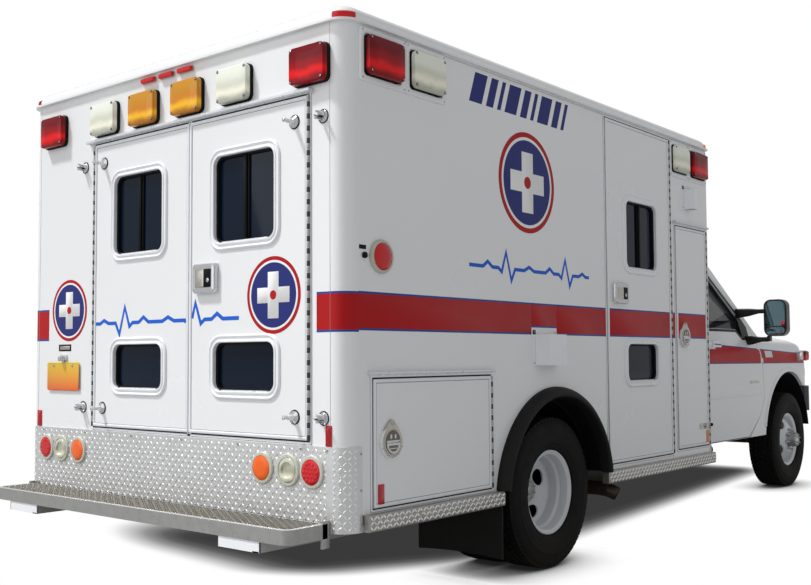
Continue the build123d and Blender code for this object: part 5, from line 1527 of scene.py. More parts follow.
def mud_flap(side):
    """Rubber flap with a slightly rounded foot, notched beside the flare and held by a screwed strip."""
    low_u, high_u, foot_v = .670, 1.195, .125

    def build(bm):
        face = Face((AXLE_R - TYRE_R - .112, 0, 0), (0, side, 0), (0, 0, 1), (-1, 0, 0))
        line = [(low_u + .525 * k / 8, foot_v + .012 * sin(pi * k / 8)) for k in range(9)]
        line += [(high_u, .392), (1.138, .396), (1.138, .690), (low_u, .690)]
        stack(bm, face, [(line, -.005), (line, .005)])
        block(bm, face, (.68, 1.13), (.665, .690), (.005, .009), 1)
        for k in range(4):
            screw(bm, face, .72 + k * .125, .678, .009, .006, 1, 0)
    return build


for face, tag, side in SIDES:
    made(f"{tag}_flare", flare(side), (black,), "chassis", angle=60,
         stands_for=("flares_and_flaps",))
    made(f"{tag}_wheel_house", wheel_house(side), (seal,), "chassis")
    made(f"{tag}_mud_flap", mud_flap(side), (black, steel), "chassis")

# ---------------------------------------------------------------- wheels
REAR_WHEEL_Y = middle("rear_right_rims").y
FRONT_WHEEL_Y = middle("front_right_tyre").y
TWIN = .130
GROOVE = .3885
# half of the tyre's section from the bore outward: radius, distance from its middle plane
TYRE_SIDE = ((.205, .079), (.2225, .0805), (.2265, .0905), (.2275, .1000), (.2340, .1040), (.2370, .1052),
             (.2385, .1072), (.2415, .1082), (.2430, .1072), (.2600, .1115), (.2615, .1128), (.2640, .1132),
             (.2655, .1124), (.2850, .1158), (.3000, .1170), (.3160, .1170), (.3175, .1176), (.3205, .1175),
             (.3220, .1166), (.3380, .1152), (.3500, .1128), (.3600, .1106), (.3680, .1080), (.3760, .1035),
             (.3830, .0985), (GROOVE, .0900))
TREAD_ROWS = ((-.0985, -.0640, 1), (-.0570, -.0255, 0), (-.0185, .0185, 1), (.0255, .0570, 0),
              (.0640, .0985, 1))
TREAD_PITCHES = 66
TREAD_FILL = .42  # half of a block's share of its pitch


def tyre_mesh(bm, face, mid):
    """Carcass and tread blocks of one tyre; its middle plane stands mid out of the wheel's face."""
    profile = list(TYRE_SIDE) + [(r, -a) for r, a in TYRE_SIDE[::-1]]
    spin(bm, face.at(0, 0, mid), face.out, profile, 72)
    half = 2 * pi / TREAD_PITCHES * TREAD_FILL
    for low_a, high_a, odd in TREAD_ROWS:
        mid_a = (low_a + high_a) / 2
        lean = .35 * half * (1 if odd else -1)
        for k in range(TREAD_PITCHES):
            mid_turn = 2 * pi * (k + .5 * odd) / TREAD_PITCHES
            foot, head = [], []
            for a, turn in ((low_a, -half - lean), (high_a, -half + lean), (high_a, half + lean),
                            (low_a, half - lean)):
                shoulder = abs(a) > .09
                angle, r = mid_turn + turn, GROOVE - (.006 if shoulder else .001)
                foot.append(bm.verts.new(face.at(r * cos(angle), r * sin(angle), mid + a)))
                angle, r = mid_turn + turn * .94, TYRE_R - (.0045 if shoulder else .0002)
                head.append(bm.verts.new(face.at(r * cos(angle), r * sin(angle),
                                                 mid + (mid_a + (a - mid_a) * .96))))
            for i in range(4):
                j = (i + 1) % 4
                bm.faces.new((foot[i], foot[j], head[j], head[i]))
            bm.faces.new(head)
            bm.faces.new(foot[::-1])


def part_way(table, r):
    """Height of a disc's section at a radius, from a table that runs inward."""
    for (r0, a0), (r1, a1) in zip(table, table[1:]):
        if r1 <= r <= r0:
            return a0 + (a1 - a0) * (r0 - r) / (r0 - r1)
    return table[0][1] if r > table[0][0] else table[-1][1]


def holed_disc(bm, face, table, hole_r, half, phase, thick):
    """The ring of a wheel disc that carries its four oval hand holes."""
    outer, inner = table[0][0], table[-1][0]
    side_reach = hole_r * pi / 4
    corners = [atan2(outer - hole_r, side_reach), atan2(outer - hole_r, -side_reach),
               atan2(inner - hole_r, -side_reach), atan2(inner - hole_r, side_reach)]
    turns = sorted([t if t >= 0 else t + 2 * pi for t in corners]
                   + [2 * pi * (k + .5) / 40 for k in range(40)])
    for quarter in range(4):
        mid = phase + quarter * pi / 2

        def row(share, drop):
            line = []
            for t in turns:
                c, d = cos(t), sin(t)
                room = (outer - hole_r if d > 0 else hole_r - inner) / max(abs(d), 1e-9)
                far = min(side_reach / max(abs(c), 1e-9), room)
                s = half[0] * c * (1 - share) + far * c * share
                r = hole_r + half[1] * d * (1 - share) + far * d * share
                angle = mid + s / hole_r
                line.append(bm.verts.new(face.at(r * cos(angle), r * sin(angle), part_way(table, r) - drop)))
            return line
        rows = [row(1, thick), row(.5, thick), row(0, thick), row(0, .0012), row(.03, 0), row(.25, 0),
                row(.6, 0), row(1, 0)]
        for a, b in zip(rows, rows[1:]):
            for k in range(len(turns)):
                m = (k + 1) % len(turns)
                bm.faces.new((a[k], a[m], b[m], b[k]))


def nuts(bm, face, ring, low_a, high_a, count, across, phase):
    """Hexagon nuts with a washer and a rounded stud end, on a circle."""
    mat = 2  # chrome
    for k in range(count):
        angle = phase + 2 * pi * k / count
        u, v = ring * cos(angle), ring * sin(angle)
        hexagon = circle(u, v, across, 6)
        small = circle(u, v, across * .8, 6)
        discs(bm, face, u, v, ((across * 1.22, low_a), (across * 1.22, low_a + .003)), mat, count=18)
        stack(bm, face, [(hexagon, low_a + .003), (hexagon, high_a - .003), (small, high_a)], mat)
        discs(bm, face, u, v, ((across * .5, high_a), (across * .5, high_a + .006),
                               (across * .25, high_a + .009)), mat, count=12)


def wheel_face(x, y):
    """The face of a wheel, at its hub and turned outward."""
    side = 1 if y > 0 else -1
    return Face((x, y, WHEEL_Z), (1, 0, 0), (0, 0, 1), (0, side, 0))


RIM_BACK = [(.198, -.083), (.2185, -.0925), (.2225, -.0905), (.2225, -.0820), (.2040, -.0775), (.2038, .0775),
            (.2225, .0820), (.2225, .0905), (.2205, .0925), (.2165, .0925), (.2120, .0885)]
REAR_DISH = ((.170, -.042), (.150, -.052), (.135, -.0605), (.118, -.0725), (.104, -.084))
INNER_DISH = ((.166, -.108), (.155, -.1175), (.140, -.1205), (.088, -.1245))
FRONT_DOME = ((.182, .043), (.170, .058), (.150, .0725), (.130, .085), (.118, .0925))


def rear_rims(face):
    """The twin wheels of one side: two rims, their discs, the hub between them, nuts and a valve stem."""
    def build(bm):
        outer = Face(face.at(0, 0, TWIN), face.u, face.v, face.out)
        inner = Face(face.at(0, 0, -TWIN), face.u, face.v, -face.out)
        profile = RIM_BACK + [(.2000, .0825), (.1970, .0770), (.1970, .0350), (.1865, .0210), (.1850, -.0300),
                              (.1900, -.0600)]
        spin(bm, outer.origin, outer.out, profile, 64)
        spin(bm, outer.origin, outer.out, [
            (.1900, -.0280), (.1865, -.0280), (.1830, -.0350), (.1770, -.0400), (.1695, -.0425),
            (.1695, -.0505), (.1800, -.0480), (.1895, -.0400)], 64)
        holed_disc(bm, outer, REAR_DISH, .137, (.050, .0275), radians(25), .008)
        spin(bm, outer.origin, outer.out, [
            (.1045, -.0838), (.0990, -.0900), (.0940, -.1040), (.0885, -.1200), (.0550, -.1200),
            (.0550, -.1290), (.0920, -.1290), (.1000, -.1080), (.1045, -.0920)], 64)
        spin(bm, inner.origin, inner.out, profile, 64)
        spin(bm, inner.origin, inner.out, [
            (.1900, -.0500), (.1860, -.0500), (.1815, -.0720), (.1740, -.0900), (.1650, -.1080),
            (.1650, -.1160), (.1800, -.1000), (.1885, -.0780)], 64)
        holed_disc(bm, inner, INNER_DISH, .126, (.050, .032), radians(25), .004)
        # the hub, hollow round the axle's end
        spin(bm, outer.origin, outer.out, [
            (.0560, -.1200), (.0560, -.0560), (.0620, -.0520), (.0620, -.0420), (.0590, -.0380),
            (.0270, -.0380), (.0260, -.0310), (.0220, -.0290), (0, -.0285), (0, -.0395), (.0505, -.0395),
            (.0505, -.1200)], 48, 1)
        nuts(bm, outer, .0455, -.0385, -.0300, 8, .0075, radians(24))
        nuts(bm, outer, .0745, -.1200, -.0880, 8, .0112, radians(10))
        tube(bm, [outer.at(.118, -.146, -.034), outer.at(.124, -.150, -.010), outer.at(.130, -.152, .020)],
             .0035, 8, 1)
    return build


def front_rim(face):
    """A front wheel: rim, domed disc, hub with its cap, nuts and a valve stem."""
    def build(bm):
        profile = RIM_BACK + [(.2000, .0825), (.1970, .0770), (.1960, .0300), (.1910, .0180), (.1910, -.0600)]
        spin(bm, face.origin, face.out, profile, 64)
        spin(bm, face.origin, face.out, [
            (.1960, .0120), (.1960, .0260), (.1900, .0320), (.1815, .0430), (.1800, .0350), (.1860, .0180),
            (.1900, .0120)], 64)
        holed_disc(bm, face, FRONT_DOME, .150, (.046, .0265), radians(34), .008)
        spin(bm, face.origin, face.out, [
            (.1185, .0922), (.1120, .0985), (.1050, .1015), (.0600, .1015), (.0600, .0930), (.1020, .0930),
            (.1180, .0840)], 56)
        spin(bm, face.origin, face.out, [
            (.0640, .0950), (.0640, .1040), (.0610, .1100), (.0590, .1560), (.0560, .1680), (.0500, .1720),
            (.0300, .1720), (.0285, .1640), (.0280, .1050), (.0280, .0950)], 40, 1)
        spin(bm, face.origin, face.out, [
            (0, .1500), (.0285, .1500), (.0270, .1680), (.0160, .1740), (0, .1745)], 24, 2)
        nuts(bm, face, .0430, .1715, .1780, 6, .0060, radians(20))
        nuts(bm, face, .0855, .1012, .1300, 8, .0112, radians(10))
        tube(bm, [face.at(-.165, .060, .052), face.at(-.174, .064, .070), face.at(-.180, .066, .084)], .0042,
             8, 3)
    return build


for side, tag in ((-1, "right"), (1, "left")):
    twin_face = wheel_face(AXLE_R, side * abs(REAR_WHEEL_Y))
    front_face = wheel_face(AXLE_F, side * abs(FRONT_WHEEL_Y))
    made(f"rear_{tag}_rim_set", rear_rims(twin_face), (rim_paint, hub_paint, chrome, seal),
         f"rear_{tag}_wheels", angle=32, stands_for=(f"rear_{tag}_rims",))
    made(f"front_{tag}_rim_set", front_rim(front_face), (rim_paint, hub_paint, chrome, seal),
         f"front_{tag}_wheel", angle=32, stands_for=(f"front_{tag}_rim",))
    made(f"rear_{tag}_tyre_set", lambda bm: (tyre_mesh(bm, twin_face, TWIN), tyre_mesh(bm, twin_face, -TWIN)),
         (tyre_rubber,), f"rear_{tag}_wheels", angle=30, stands_for=(f"rear_{tag}_tyres",))
    made(f"front_{tag}_tyre_set", lambda bm: tyre_mesh(bm, front_face, 0), (tyre_rubber,),
         f"front_{tag}_wheel", angle=30, stands_for=(f"front_{tag}_tyre",))


def exhaust_tip(bm):
    """The tail pipe's last bend, turned out and down behind the rear wheel arch."""
    path = [(AXLE_R + .641, -.98, .350), (AXLE_R + .641, -1.09, .350), (AXLE_R + .645, -1.14, .345),
            (AXLE_R + .655, -1.178, .332), (AXLE_R + .662, -1.196, .322)]
    tube(bm, path, .0405, 20, 0)
    tube(bm, [(AXLE_R + .6615, -1.1945, .3228), (AXLE_R + .6630, -1.1985, .3208)], .0365, 20, 1)


made("exhaust_tip", exhaust_tip, (pipe_steel, seal), "chassis")

# ---------------------------------------------------------------- lamps and fittings of the front bulkhead
for number, (u, mat) in enumerate(((1.015, red_lens), (.500, clear_lens), (0, amber_lens),
                                   (-.500, clear_lens), (-1.015, red_lens))):
    made(f"front_lamp_{number}", lens_body(FRONT_FACE, u, END_LAMP_V, *LAMP_HALF, END_LAMP_TOP),
         (mat, seal, chrome), "chassis")


made("front_id_lamps", id_lamps(FRONT_FACE, (.144, 0, -.144)), (amber_reflector, bulb_ring), "chassis")


def bellows(bm):
    """The folded rubber sleeve between the cab's back and the patient room."""
    folds, wall = 5, .006
    rings = []
    for k in range(2 * folds + 1):
        x = FRONT + .002 + (CAB - FRONT - .004) * k / (2 * folds)
        rings.append((x, .058 if k % 2 else .036))
    rows = []
    for line, thinner in ((rings, 0), (rings[::-1], -wall)):
        for x, grow in line:
            outline = rounded(0, 1.41, .250 + grow + thinner, .230 + grow + thinner, .060, 5)
            rows.append([bm.verts.new((x, y, z)) for y, z in outline])
    for a, b in zip(rows, rows[1:] + rows[:1]):
        for k in range(len(a)):
            m = (k + 1) % len(a)
            bm.faces.new((a[k], a[m], b[m], b[k]))


def air_dam(bm):
    """Rubber lip under the front bumper, in three lengths between the rail ends."""
    for u in ((-.600, -.434), (-.336, .336), (.434, .600)):
        panels(bm, NOSE_FACE, u, (.505, .618), ((0, .012, NOSE - .126), (0, .012, NOSE - .068),
                                           (-.006, .012, NOSE - .061)), steps=4)


made("cab_bellows", bellows, (black,), "chassis", angle=20)
made("air_dam", air_dam, (plastic,), "chassis")


# ---------------------------------------------------------------- tools for pieces laid on the cab's skin
def skin_of(*names):
    """A search tree over the faces of some CAD pieces."""
    corners, faces = [], []
    for name in names:
        mesh, place = nodes[name].data, nodes[name].matrix_world
        first = len(corners)
        corners += [place @ vertex.co for vertex in mesh.vertices]
        faces += [[first + index for index in polygon.vertices] for polygon in mesh.polygons]
    return BVHTree.FromPolygons(corners, faces)


def from_side(skin, side, x, z, out=0):
    """The outermost point of a skin at x and z on one side, moved out of it."""
    hit, normal, _, _ = skin.ray_cast(Vector((x, side * 1.6, z)), Vector((0, -side, 0)))
    if hit is None:
        return None
    if normal.y * side < 0:
        normal = -normal
    return hit + normal * out


def from_post(skin, side, x, z, out=0):
    """A point on the cab's side at x and z, read from the plain post behind the door's window."""
    point = from_side(skin, side, CAB + .372, z, out)
    return None if point is None else Vector((x, point.y, point.z))


def from_front(skin, y, z, out=0):
    """The foremost point of a skin at y and z, moved out of it."""
    hit, normal, _, _ = skin.ray_cast(Vector((NOSE + .5, y, z)), Vector((-1, 0, 0)))
    if hit is None:
        return None
    if normal.x < 0:
        normal = -normal
    return hit + normal * out


def sheet(bm, rows, mat=0):
    """Faces over a grid of points; cells with a missing corner are left out."""
    made_rows = [[bm.verts.new(point) if point is not None else None for point in row] for row in rows]
    for a, b in zip(made_rows, made_rows[1:]):
        for k in range(len(a) - 1):
            corners = (a[k], a[k + 1], b[k + 1], b[k])
            if None not in corners:
                bm.faces.new(corners).material_index = mat


def laid_ribbon(bm, skin, side, path, width, out, thick=.0025, probe=from_side):
    """A raised ribbon laid on the side skin along a path of (x, z) points."""
    path = [Vector(p) for p in path]
    fine = []
    for a, b in zip(path, path[1:]):
        pieces = max(1, int((b - a).length / .04))
        fine += [a + (b - a) * k / pieces for k in range(pieces)]
    fine.append(path[-1])
    rows = []
    for k, point in enumerate(fine):
        ahead = (fine[min(k + 1, len(fine) - 1)] - fine[max(k - 1, 0)]).normalized()
        across = Vector((-ahead.y, ahead.x)) * width / 2
        line = []
        for share, lift in ((-1, -.003), (-.94, out + thick * .7), (-.6, out + thick), (.6, out + thick),
                            (.94, out + thick * .7), (1, -.003)):
            at = point + across * share
            line.append(probe(skin, side, at.x, at.y, lift))
        rows.append(line)
    sheet(bm, rows)


CAB_SKIN = {"left": skin_of("cab_left_door", "front_fenders", "cab_shell"),
            "right": skin_of("cab_right_door", "front_fenders", "cab_shell")}


def stripe_levels(x):
    """Bottom and top of the red stripe along the cab."""
    share = (x - .9285) / 1.93
    return 1.056 - .008 * share, 1.207 - .070 * share


def cab_stripe(tag, side, start, end, on_door):
    """The stripe on a length of the cab's side, with its blue edges; on_door names the length."""
    skin = CAB_SKIN[tag]

    def build(bm):
        count = max(2, int((end - start) / .03))
        for low_share, high_share, mat in ((0, .055, 1), (.055, .945, 0), (.945, 1, 1)):
            rows = []
            for k in range(count + 1):
                x = start + (end - start) * k / count
                low_z, high_z = stripe_levels(x)
                levels = [low_z + (high_z - low_z) * (low_share + (high_share - low_share) * j / 6)
                          for j in range(7)]
                rows.append([from_side(skin, side, x, z, .0012) for z in levels])
            sheet(bm, rows, mat)
    made(f"{tag}_cab_stripe_{on_door}", build, (stripe_red, stripe_blue),
         f"cab_{tag}_door" if on_door == "door" else "chassis")


def on_cab(points):
    """Points given from the cab's back face, placed in the frame."""
    return [(CAB + x, z) for x, z in points]


def mirror_parts(side):
    """Two arms, housing rim, mirror glass, curved inset and a small red patch on the glass that is a painted
    reflection.
    """
    def build(bm):
        back = Face((CAB + 1.165, side * 1.1925, 1.412), (0, side, 0), (0, 0, 1), (-1, 0, 0))
        plates(bm, back, 0, 0, ((.0875, .144, .055, -.004), (.0875, .144, .055, .006),
                                (.083, .139, .052, .010), (.078, .134, .048, .008),
                                (.077, .133, .047, -.004)), steps=8, loop=True)
        plates(bm, back, 0, .033, ((.076, .098, .040, .0005), (.076, .098, .040, .004)), 1, steps=8)
        plates(bm, back, 0, -.104, ((.072, .030, .024, .0005), (.072, .030, .024, .004),
                                    (.050, .018, .014, .0065)), 1, steps=8)
        block(bm, back, (-.078, .078), (-.072, -.066), (.0005, .006), 0)
        # red patch on the glass: painted reflection
        block(bm, back, (.046, .074), (-.058, -.030), (.004, .0052), 2, .0004)
        wide = Face((CAB, 0, 0), (1, 0, 0), (0, 0, 1), (0, side, 0))
        for (low_x, high_x), (low_z, high_z), inner_half in (((1.150, 1.187), (1.450, 1.482), .026),
                                                             ((1.193, 1.237), (1.226, 1.262), .030)):
            mid_x, mid_z = (low_x + high_x) / 2, (low_z + high_z) / 2
            tip = rounded(mid_x, mid_z, (high_x - low_x) / 2 + .001, (high_z - low_z) / 2 + .001, .008)
            stack(bm, wide, [(rounded(mid_x, mid_z - .012, .024, inner_half + .012, .012), .880),
                             (rounded(mid_x, mid_z - .006, .022, inner_half + .004, .012), .985),
                             (tip, 1.060), (tip, 1.112)])
    return build


WINDOW_LINE = on_cab([(.400, 1.318), (.400, 1.760), (.430, 1.797), (.728, 1.797), (1.192, 1.418),
                      (1.272, 1.334)])
BELT_LINE = on_cab([(.392, 1.312), (1.036, 1.312), (1.124, 1.250), (1.276, 1.250)])

for side, tag in ((-1, "right"), (1, "left")):
    skin, door = CAB_SKIN[tag], f"cab_{tag}_door"
    for start, end, place in ((CAB + .004, CAB + .344, "rear"), (CAB + .360, CAB + 1.398, "door"),
                              (CAB + 1.425, AXLE_F + .620, "fender")):
        cab_stripe(tag, side, start, end, place)
    for name, line, width in (("window_trim", WINDOW_LINE, .024), ("belt_trim", BELT_LINE, .020)):
        made(f"{tag}_{name}", lambda bm: laid_ribbon(bm, skin_of(door), side, line, width, .0005,
                                                     probe=from_post),
             (plastic,), door)

    def sail(bm):
        """The black triangle in the front corner of the door's window."""
        rear_x, foot_z = 1.130, 1.262
        rows = []
        for k in range(7):
            x = rear_x + .140 * k / 6
            top = 1.452 - (x - rear_x) * .80
            rows.append([from_post(skin, side, CAB + x, foot_z + (top - foot_z) * j / 6,
                                   .004) for j in range(7)])
        sheet(bm, rows)
    made(f"{tag}_mirror_sail", sail, (plastic,), door)
    made(f"{tag}_mirror", mirror_parts(side), (plastic, mirror_glass, reflector), door,
         angle=50)

    def handle(bm):
        skin_y = from_side(skin, side, CAB + .44, 1.16).y
        face = Face((CAB, skin_y, 0), (1, 0, 0), (0, 0, 1), (0, side, 0))
        u, v = .432, 1.2025
        plates(bm, face, u, v, ((.092, .036, .020, -.002), (.092, .036, .020, .003),
                                (.088, .032, .018, .005)))
        plates(bm, face, u, v, ((.074, .021, .016, .004), (.074, .021, .016, .022), (.068, .016, .013, .026)))
        discs(bm, face, .540, v, ((.011, -.002), (.010, .005)), 1, count=20)
    made(f"{tag}_door_handle", handle, (paint, seal), door)

    def lamp_box(bm):
        face = Face((AXLE_F + .2815, side * .985, 1.114), (1, 0, 0), (0, 0, 1), (0, side, 0))
        plates(bm, face, 0, 0, ((.0535, .046, .012, -.045), (.0535, .046, .012, .040),
                                (.050, .043, .010, .046)))
        plates(bm, face, 0, 0, ((.047, .040, .010, .044), (.047, .040, .010, .058),
                                (.040, .034, .008, .0655)), 1)
        for su in (-1, 1):
            screw(bm, face, su * .041, 0, .0655, .004, 0, 2)
    made(f"{tag}_fender_light", lamp_box, (chrome, red_lens, seal), "chassis")

    def arch_lip(bm):
        """Rolled edge of the front wheel's opening, laid on the fender's side."""
        steps, probe_least = 44, .584
        start, end = radians(14), radians(166)
        rows = []
        for k in range(steps + 1):
            turn = start + (end - start) * k / steps
            line = []
            for r, lift in ((.578, -.020), (.580, .004), (.585, .007), (.600, .008), (.612, .006),
                            (.620, -.002)):
                probe = max(r, probe_least)
                on_skin = from_side(skin, side, AXLE_F + probe * cos(turn), WHEEL_Z + probe * sin(turn))
                line.append(None if on_skin is None else Vector(
                    (AXLE_F + r * cos(turn), on_skin.y + side * lift, WHEEL_Z + r * sin(turn))))
            rows.append(line)
        sheet(bm, rows)
    made(f"{tag}_arch_lip", arch_lip, (paint,), "chassis", angle=50)

    def liner(bm):
        spin(bm, (AXLE_F, side * .560, WHEEL_Z), (0, side, 0), [
            (.571, 0), (.5775, 0), (.5775, .392), (.571, .392)], 48, 0, radians(10), radians(160))
    made(f"{tag}_front_liner", liner, (seal,), "chassis")

# ---------------------------------------------------------------- front end
GRILLE_X, LAMP_X = AXLE_F + .862, AXLE_F + .850


def grille(bm):
    """Chrome surround and bars over a fine black mesh, with a black sheet behind them as painted shade of the
    opening.
    """
    plates(bm, NOSE_FACE, 0, .9685, ((.470, .1065, .020, GRILLE_X - .002),
                                     (.470, .1065, .020, GRILLE_X + .012),
                                     (.464, .1005, .018, GRILLE_X + .016),
                                     (.450, .0865, .014, GRILLE_X + .014),
                                     (.448, .0845, .012, GRILLE_X - .002)), loop=True)
    inside_u, inside_v = (-.449, .449), (.884, 1.053)
    # black sheet behind the bars: painted shade of the opening
    block(bm, NOSE_FACE, inside_u, inside_v, (GRILLE_X - .001, GRILLE_X + .001), 1)
    for level in (.938, .938 + .060):
        block(bm, NOSE_FACE, inside_u, (level - .007, level + .007), (GRILLE_X, GRILLE_X + .013), 0, .003)
    for k in range(59):
        y = -.435 + .870 * k / 58
        block(bm, NOSE_FACE, (y - .0018, y + .0018), inside_v, (GRILLE_X, GRILLE_X + .006), 2, .0005)
    for k in range(11):
        level = .892 + .153 * k / 10
        block(bm, NOSE_FACE, inside_u, (level - .0012, level + .0012), (GRILLE_X, GRILLE_X + .005), 2, .0004)


made("grille", grille, (chrome, seal, plastic), "chassis")


def headlamp(side):
    """Chrome surround, two reflector bowls with their bulbs, a turn lamp and a clear cover."""
    def build(bm):
        face = Face((LAMP_X, side * .6325, .9625), (0, side, 0), (0, 0, 1), (1, 0, 0))
        plates(bm, face, 0, 0, ((.1325, .0825, .035, -.004), (.1325, .0825, .035, .012),
                                (.1285, .0785, .032, .016), (.122, .072, .028, .014),
                                (.121, .071, .028, -.004)), loop=True)
        block(bm, face, (-.122, .122), (-.072, .072), (.0002, .0015), 3)
        for cu, r in ((-.050, .052), (.052, .042)):
            centre = face.at(cu, 0, .0015)
            spin(bm, centre, face.out, [(r * .25, .0002), (r * .6, .0018), (r * .85, .0048), (r, .009),
                                        (r + .003, .009), (r + .003, 0), (r * .25, -.0005)], 36)
            spin(bm, centre, face.out, [(0, .0005), (.011, .0005), (.010, .007), (.005, .0095), (0, .010)],
                 18, 4)
        block(bm, face, (.100, .118), (-.060, .060), (.001, .010), 2, .003)
        plates(bm, face, 0, 0, ((.1215, .0715, .028, .0125), (.1195, .0695, .027, .0145)), 1)
    return build


for side, tag in ((-1, "right"), (1, "left")):
    made(f"{tag}_headlamp", headlamp(side), (chrome, lamp_cover, orange_lens, plastic, clear_lens), "chassis")


def bumper_trim(bm):
    """Black upper pad, lower valance with a slatted intake, two round lamps and two small brackets."""
    pad_u = (-.600, .600)
    stack(bm, NOSE_FACE, [(span(pad_u, (.832, .846), 0, .005, 3), NOSE - .120),
                          (span(pad_u, (.832, .846), 0, .005, 3), NOSE - .030),
                          (span(pad_u, (.834, .844), -.006, .004, 3), NOSE - .022)])
    block(bm, NOSE_FACE, (-.330, .330), (.640, .700), (NOSE - .020, NOSE - .0008), 0, .004)
    for k in range(5):
        slat_v = (.647 + .011 * k, .650 + .011 * k)
        block(bm, NOSE_FACE, (-.300, .300), slat_v, (NOSE - .0012, NOSE - .0002), 1, .0003)
    for side in (-1, 1):
        centre = (NOSE - .010, side * .470, .700)
        spin(bm, centre, (1, 0, 0), [(.040, 0), (.043, .0095), (.037, .0095), (.034, .004), (.034, 0)], 32, 0)
        spin(bm, centre, (1, 0, 0), [(0, .001), (.034, .001), (.030, .006), (.015, .0085), (0, .0092)], 28, 2)
        hook = Face((0, side * .385, 0), (0, 1, 0), (0, 0, 1), (1, 0, 0))
        block(bm, hook, (-.012, .012), (.560, .600), (NOSE - .12, NOSE - .055), 0, .004)


made("bumper_trim", bumper_trim, (plastic, steel, clear_lens), "chassis")

HOOD_SKIN = skin_of("hood", "cab_shell", "windshield", "front_fenders")


def from_above(x, y, out):
    """The topmost point of the hood, cowl or screen at x and y, moved out of it."""
    hit, normal, _, _ = HOOD_SKIN.ray_cast(Vector((x, y, 3)), Vector((0, 0, -1)))
    if hit is None:
        return None
    return hit + (normal if normal.z > 0 else -normal) * out


def screen_frame(bm):
    """Black rubber round the windscreen, laid on the sloping glass and its posts."""
    corners = [(-.800, 1.385), (.800, 1.385), (.610, 1.850), (-.610, 1.850)]
    mid_z, half_y, half_z = 1.617, .72, .25
    rows = []
    for share in (0, .35, .7, 1):
        grow = -.020 + .034 * share
        out = .004 if 0 < share < 1 else .0015
        line = []
        for (y0, z0), (y1, z1) in zip(corners, corners[1:] + corners[:1]):
            for k in range(16):
                way = Vector((y0 + (y1 - y0) * k / 16, z0 + (z1 - z0) * k / 16 - mid_z))
                line.append(from_front(HOOD_SKIN, way.x * (1 + grow / half_y),
                                       mid_z + way.y * (1 + grow / half_z), out))
        line.append(line[0].copy() if line[0] is not None else None)
        rows.append(line)
    sheet(bm, rows)


made("windscreen_rubber", screen_frame, (seal,), "chassis", angle=60)


def cowl(bm):
    """Louvred black panel at the foot of the windscreen, with two wipers."""
    rows = []
    for k in range(7):
        x = CAB + 1.385 + .086 * k / 6
        rows.append([from_above(x, -.760 + 1.520 * j / 30,
                                .003 + (.0025 if k % 2 else 0)) for j in range(31)])
    sheet(bm, rows)
    for foot_y, tip_y in ((.300, .700), (-.380, .060)):
        foot = from_above(CAB + 1.420, foot_y, .014)
        along = [from_front(HOOD_SKIN, foot_y + (tip_y - foot_y) * (k / 6), 1.400 + .235 * (k / 6), .016)
                 for k in range(7)]
        if foot is not None and all(point is not None for point in along):
            tube(bm, [foot] + along[:5], .006, 8, 0)
            tube(bm, along, .0045, 8, 0)
            spin(bm, foot - Vector((0, 0, .014)), (0, 0, 1), [(0, 0), (.018, 0), (.016, .014), (0, .018)], 16,
                 0)


made("cowl_and_wipers", cowl, (plastic,), "chassis", angle=30)

# ---------------------------------------------------------------- side trims of the module and cab
for face, tag, _ in SIDES:
    def front_trims(bm):
        """Tread-plate guard on the foot of the front corner."""
        block(bm, face, (3.622, 3.648), (.470, 1.060), (0, .0022), 0)
        lozenges(bm, face, (3.623, 3.647), (.474, 1.056), .0022, length=.020, width=.0055, height=.0018,
                 mat=1)
        for k in range(5):
            screw(bm, face, 3.635, .500 + .13 * k, .0022, .0045, 2, 3)
    made(f"{tag}_corner_guard", front_trims, (tread, tread_bar_highlight, steel, seal), "chassis")

    def stay(bm):
        """Hold-open bracket low on the tall locker's door."""
        block(bm, face, (3.455, 3.560), (.628, .666), (LIP, LIP + .004), 0, .001)
        block(bm, face, (3.545, 3.598), (.634, .660), (LIP + .004, LIP + .010), 0, .001)
        for u in (3.472, 3.520):
            screw(bm, face, u, .647, LIP + .004, .005, 1, 2)
    made(f"{tag}_door_stay", stay, (steel, chrome, seal), f"{tag}_front_locker_door")
    made(f"{tag}_amber_reflector", lambda bm: block(bm, face, (3.561, 3.594), (.536, .617),
                                                    (LIP, LIP + .004)),
         (amber_reflector,), f"{tag}_front_locker_door")

    def stop(bm):
        block(bm, face, (3.628, 3.648), (.640, .660), (.0022, .018), 0, .003)
    made(f"{tag}_door_stop", stop, (seal,), "chassis")


def corner_seams(bm):
    """Fine joint lines beside the rear skin's corners, and one along each side below the gutter."""
    for u in ((-1.1180, -1.1165), (1.1165, 1.1180)):
        block(bm, REAR_FACE, u, (.752, 2.526), (0, .0009), 0, .0003)
    for face, _, _ in SIDES:
        block(bm, face, (.110, 3.630), (2.5205, 2.5225), (0, .0012), 0, .0004)


made("corner_seams", corner_seams, (hinge_bright,), "chassis")

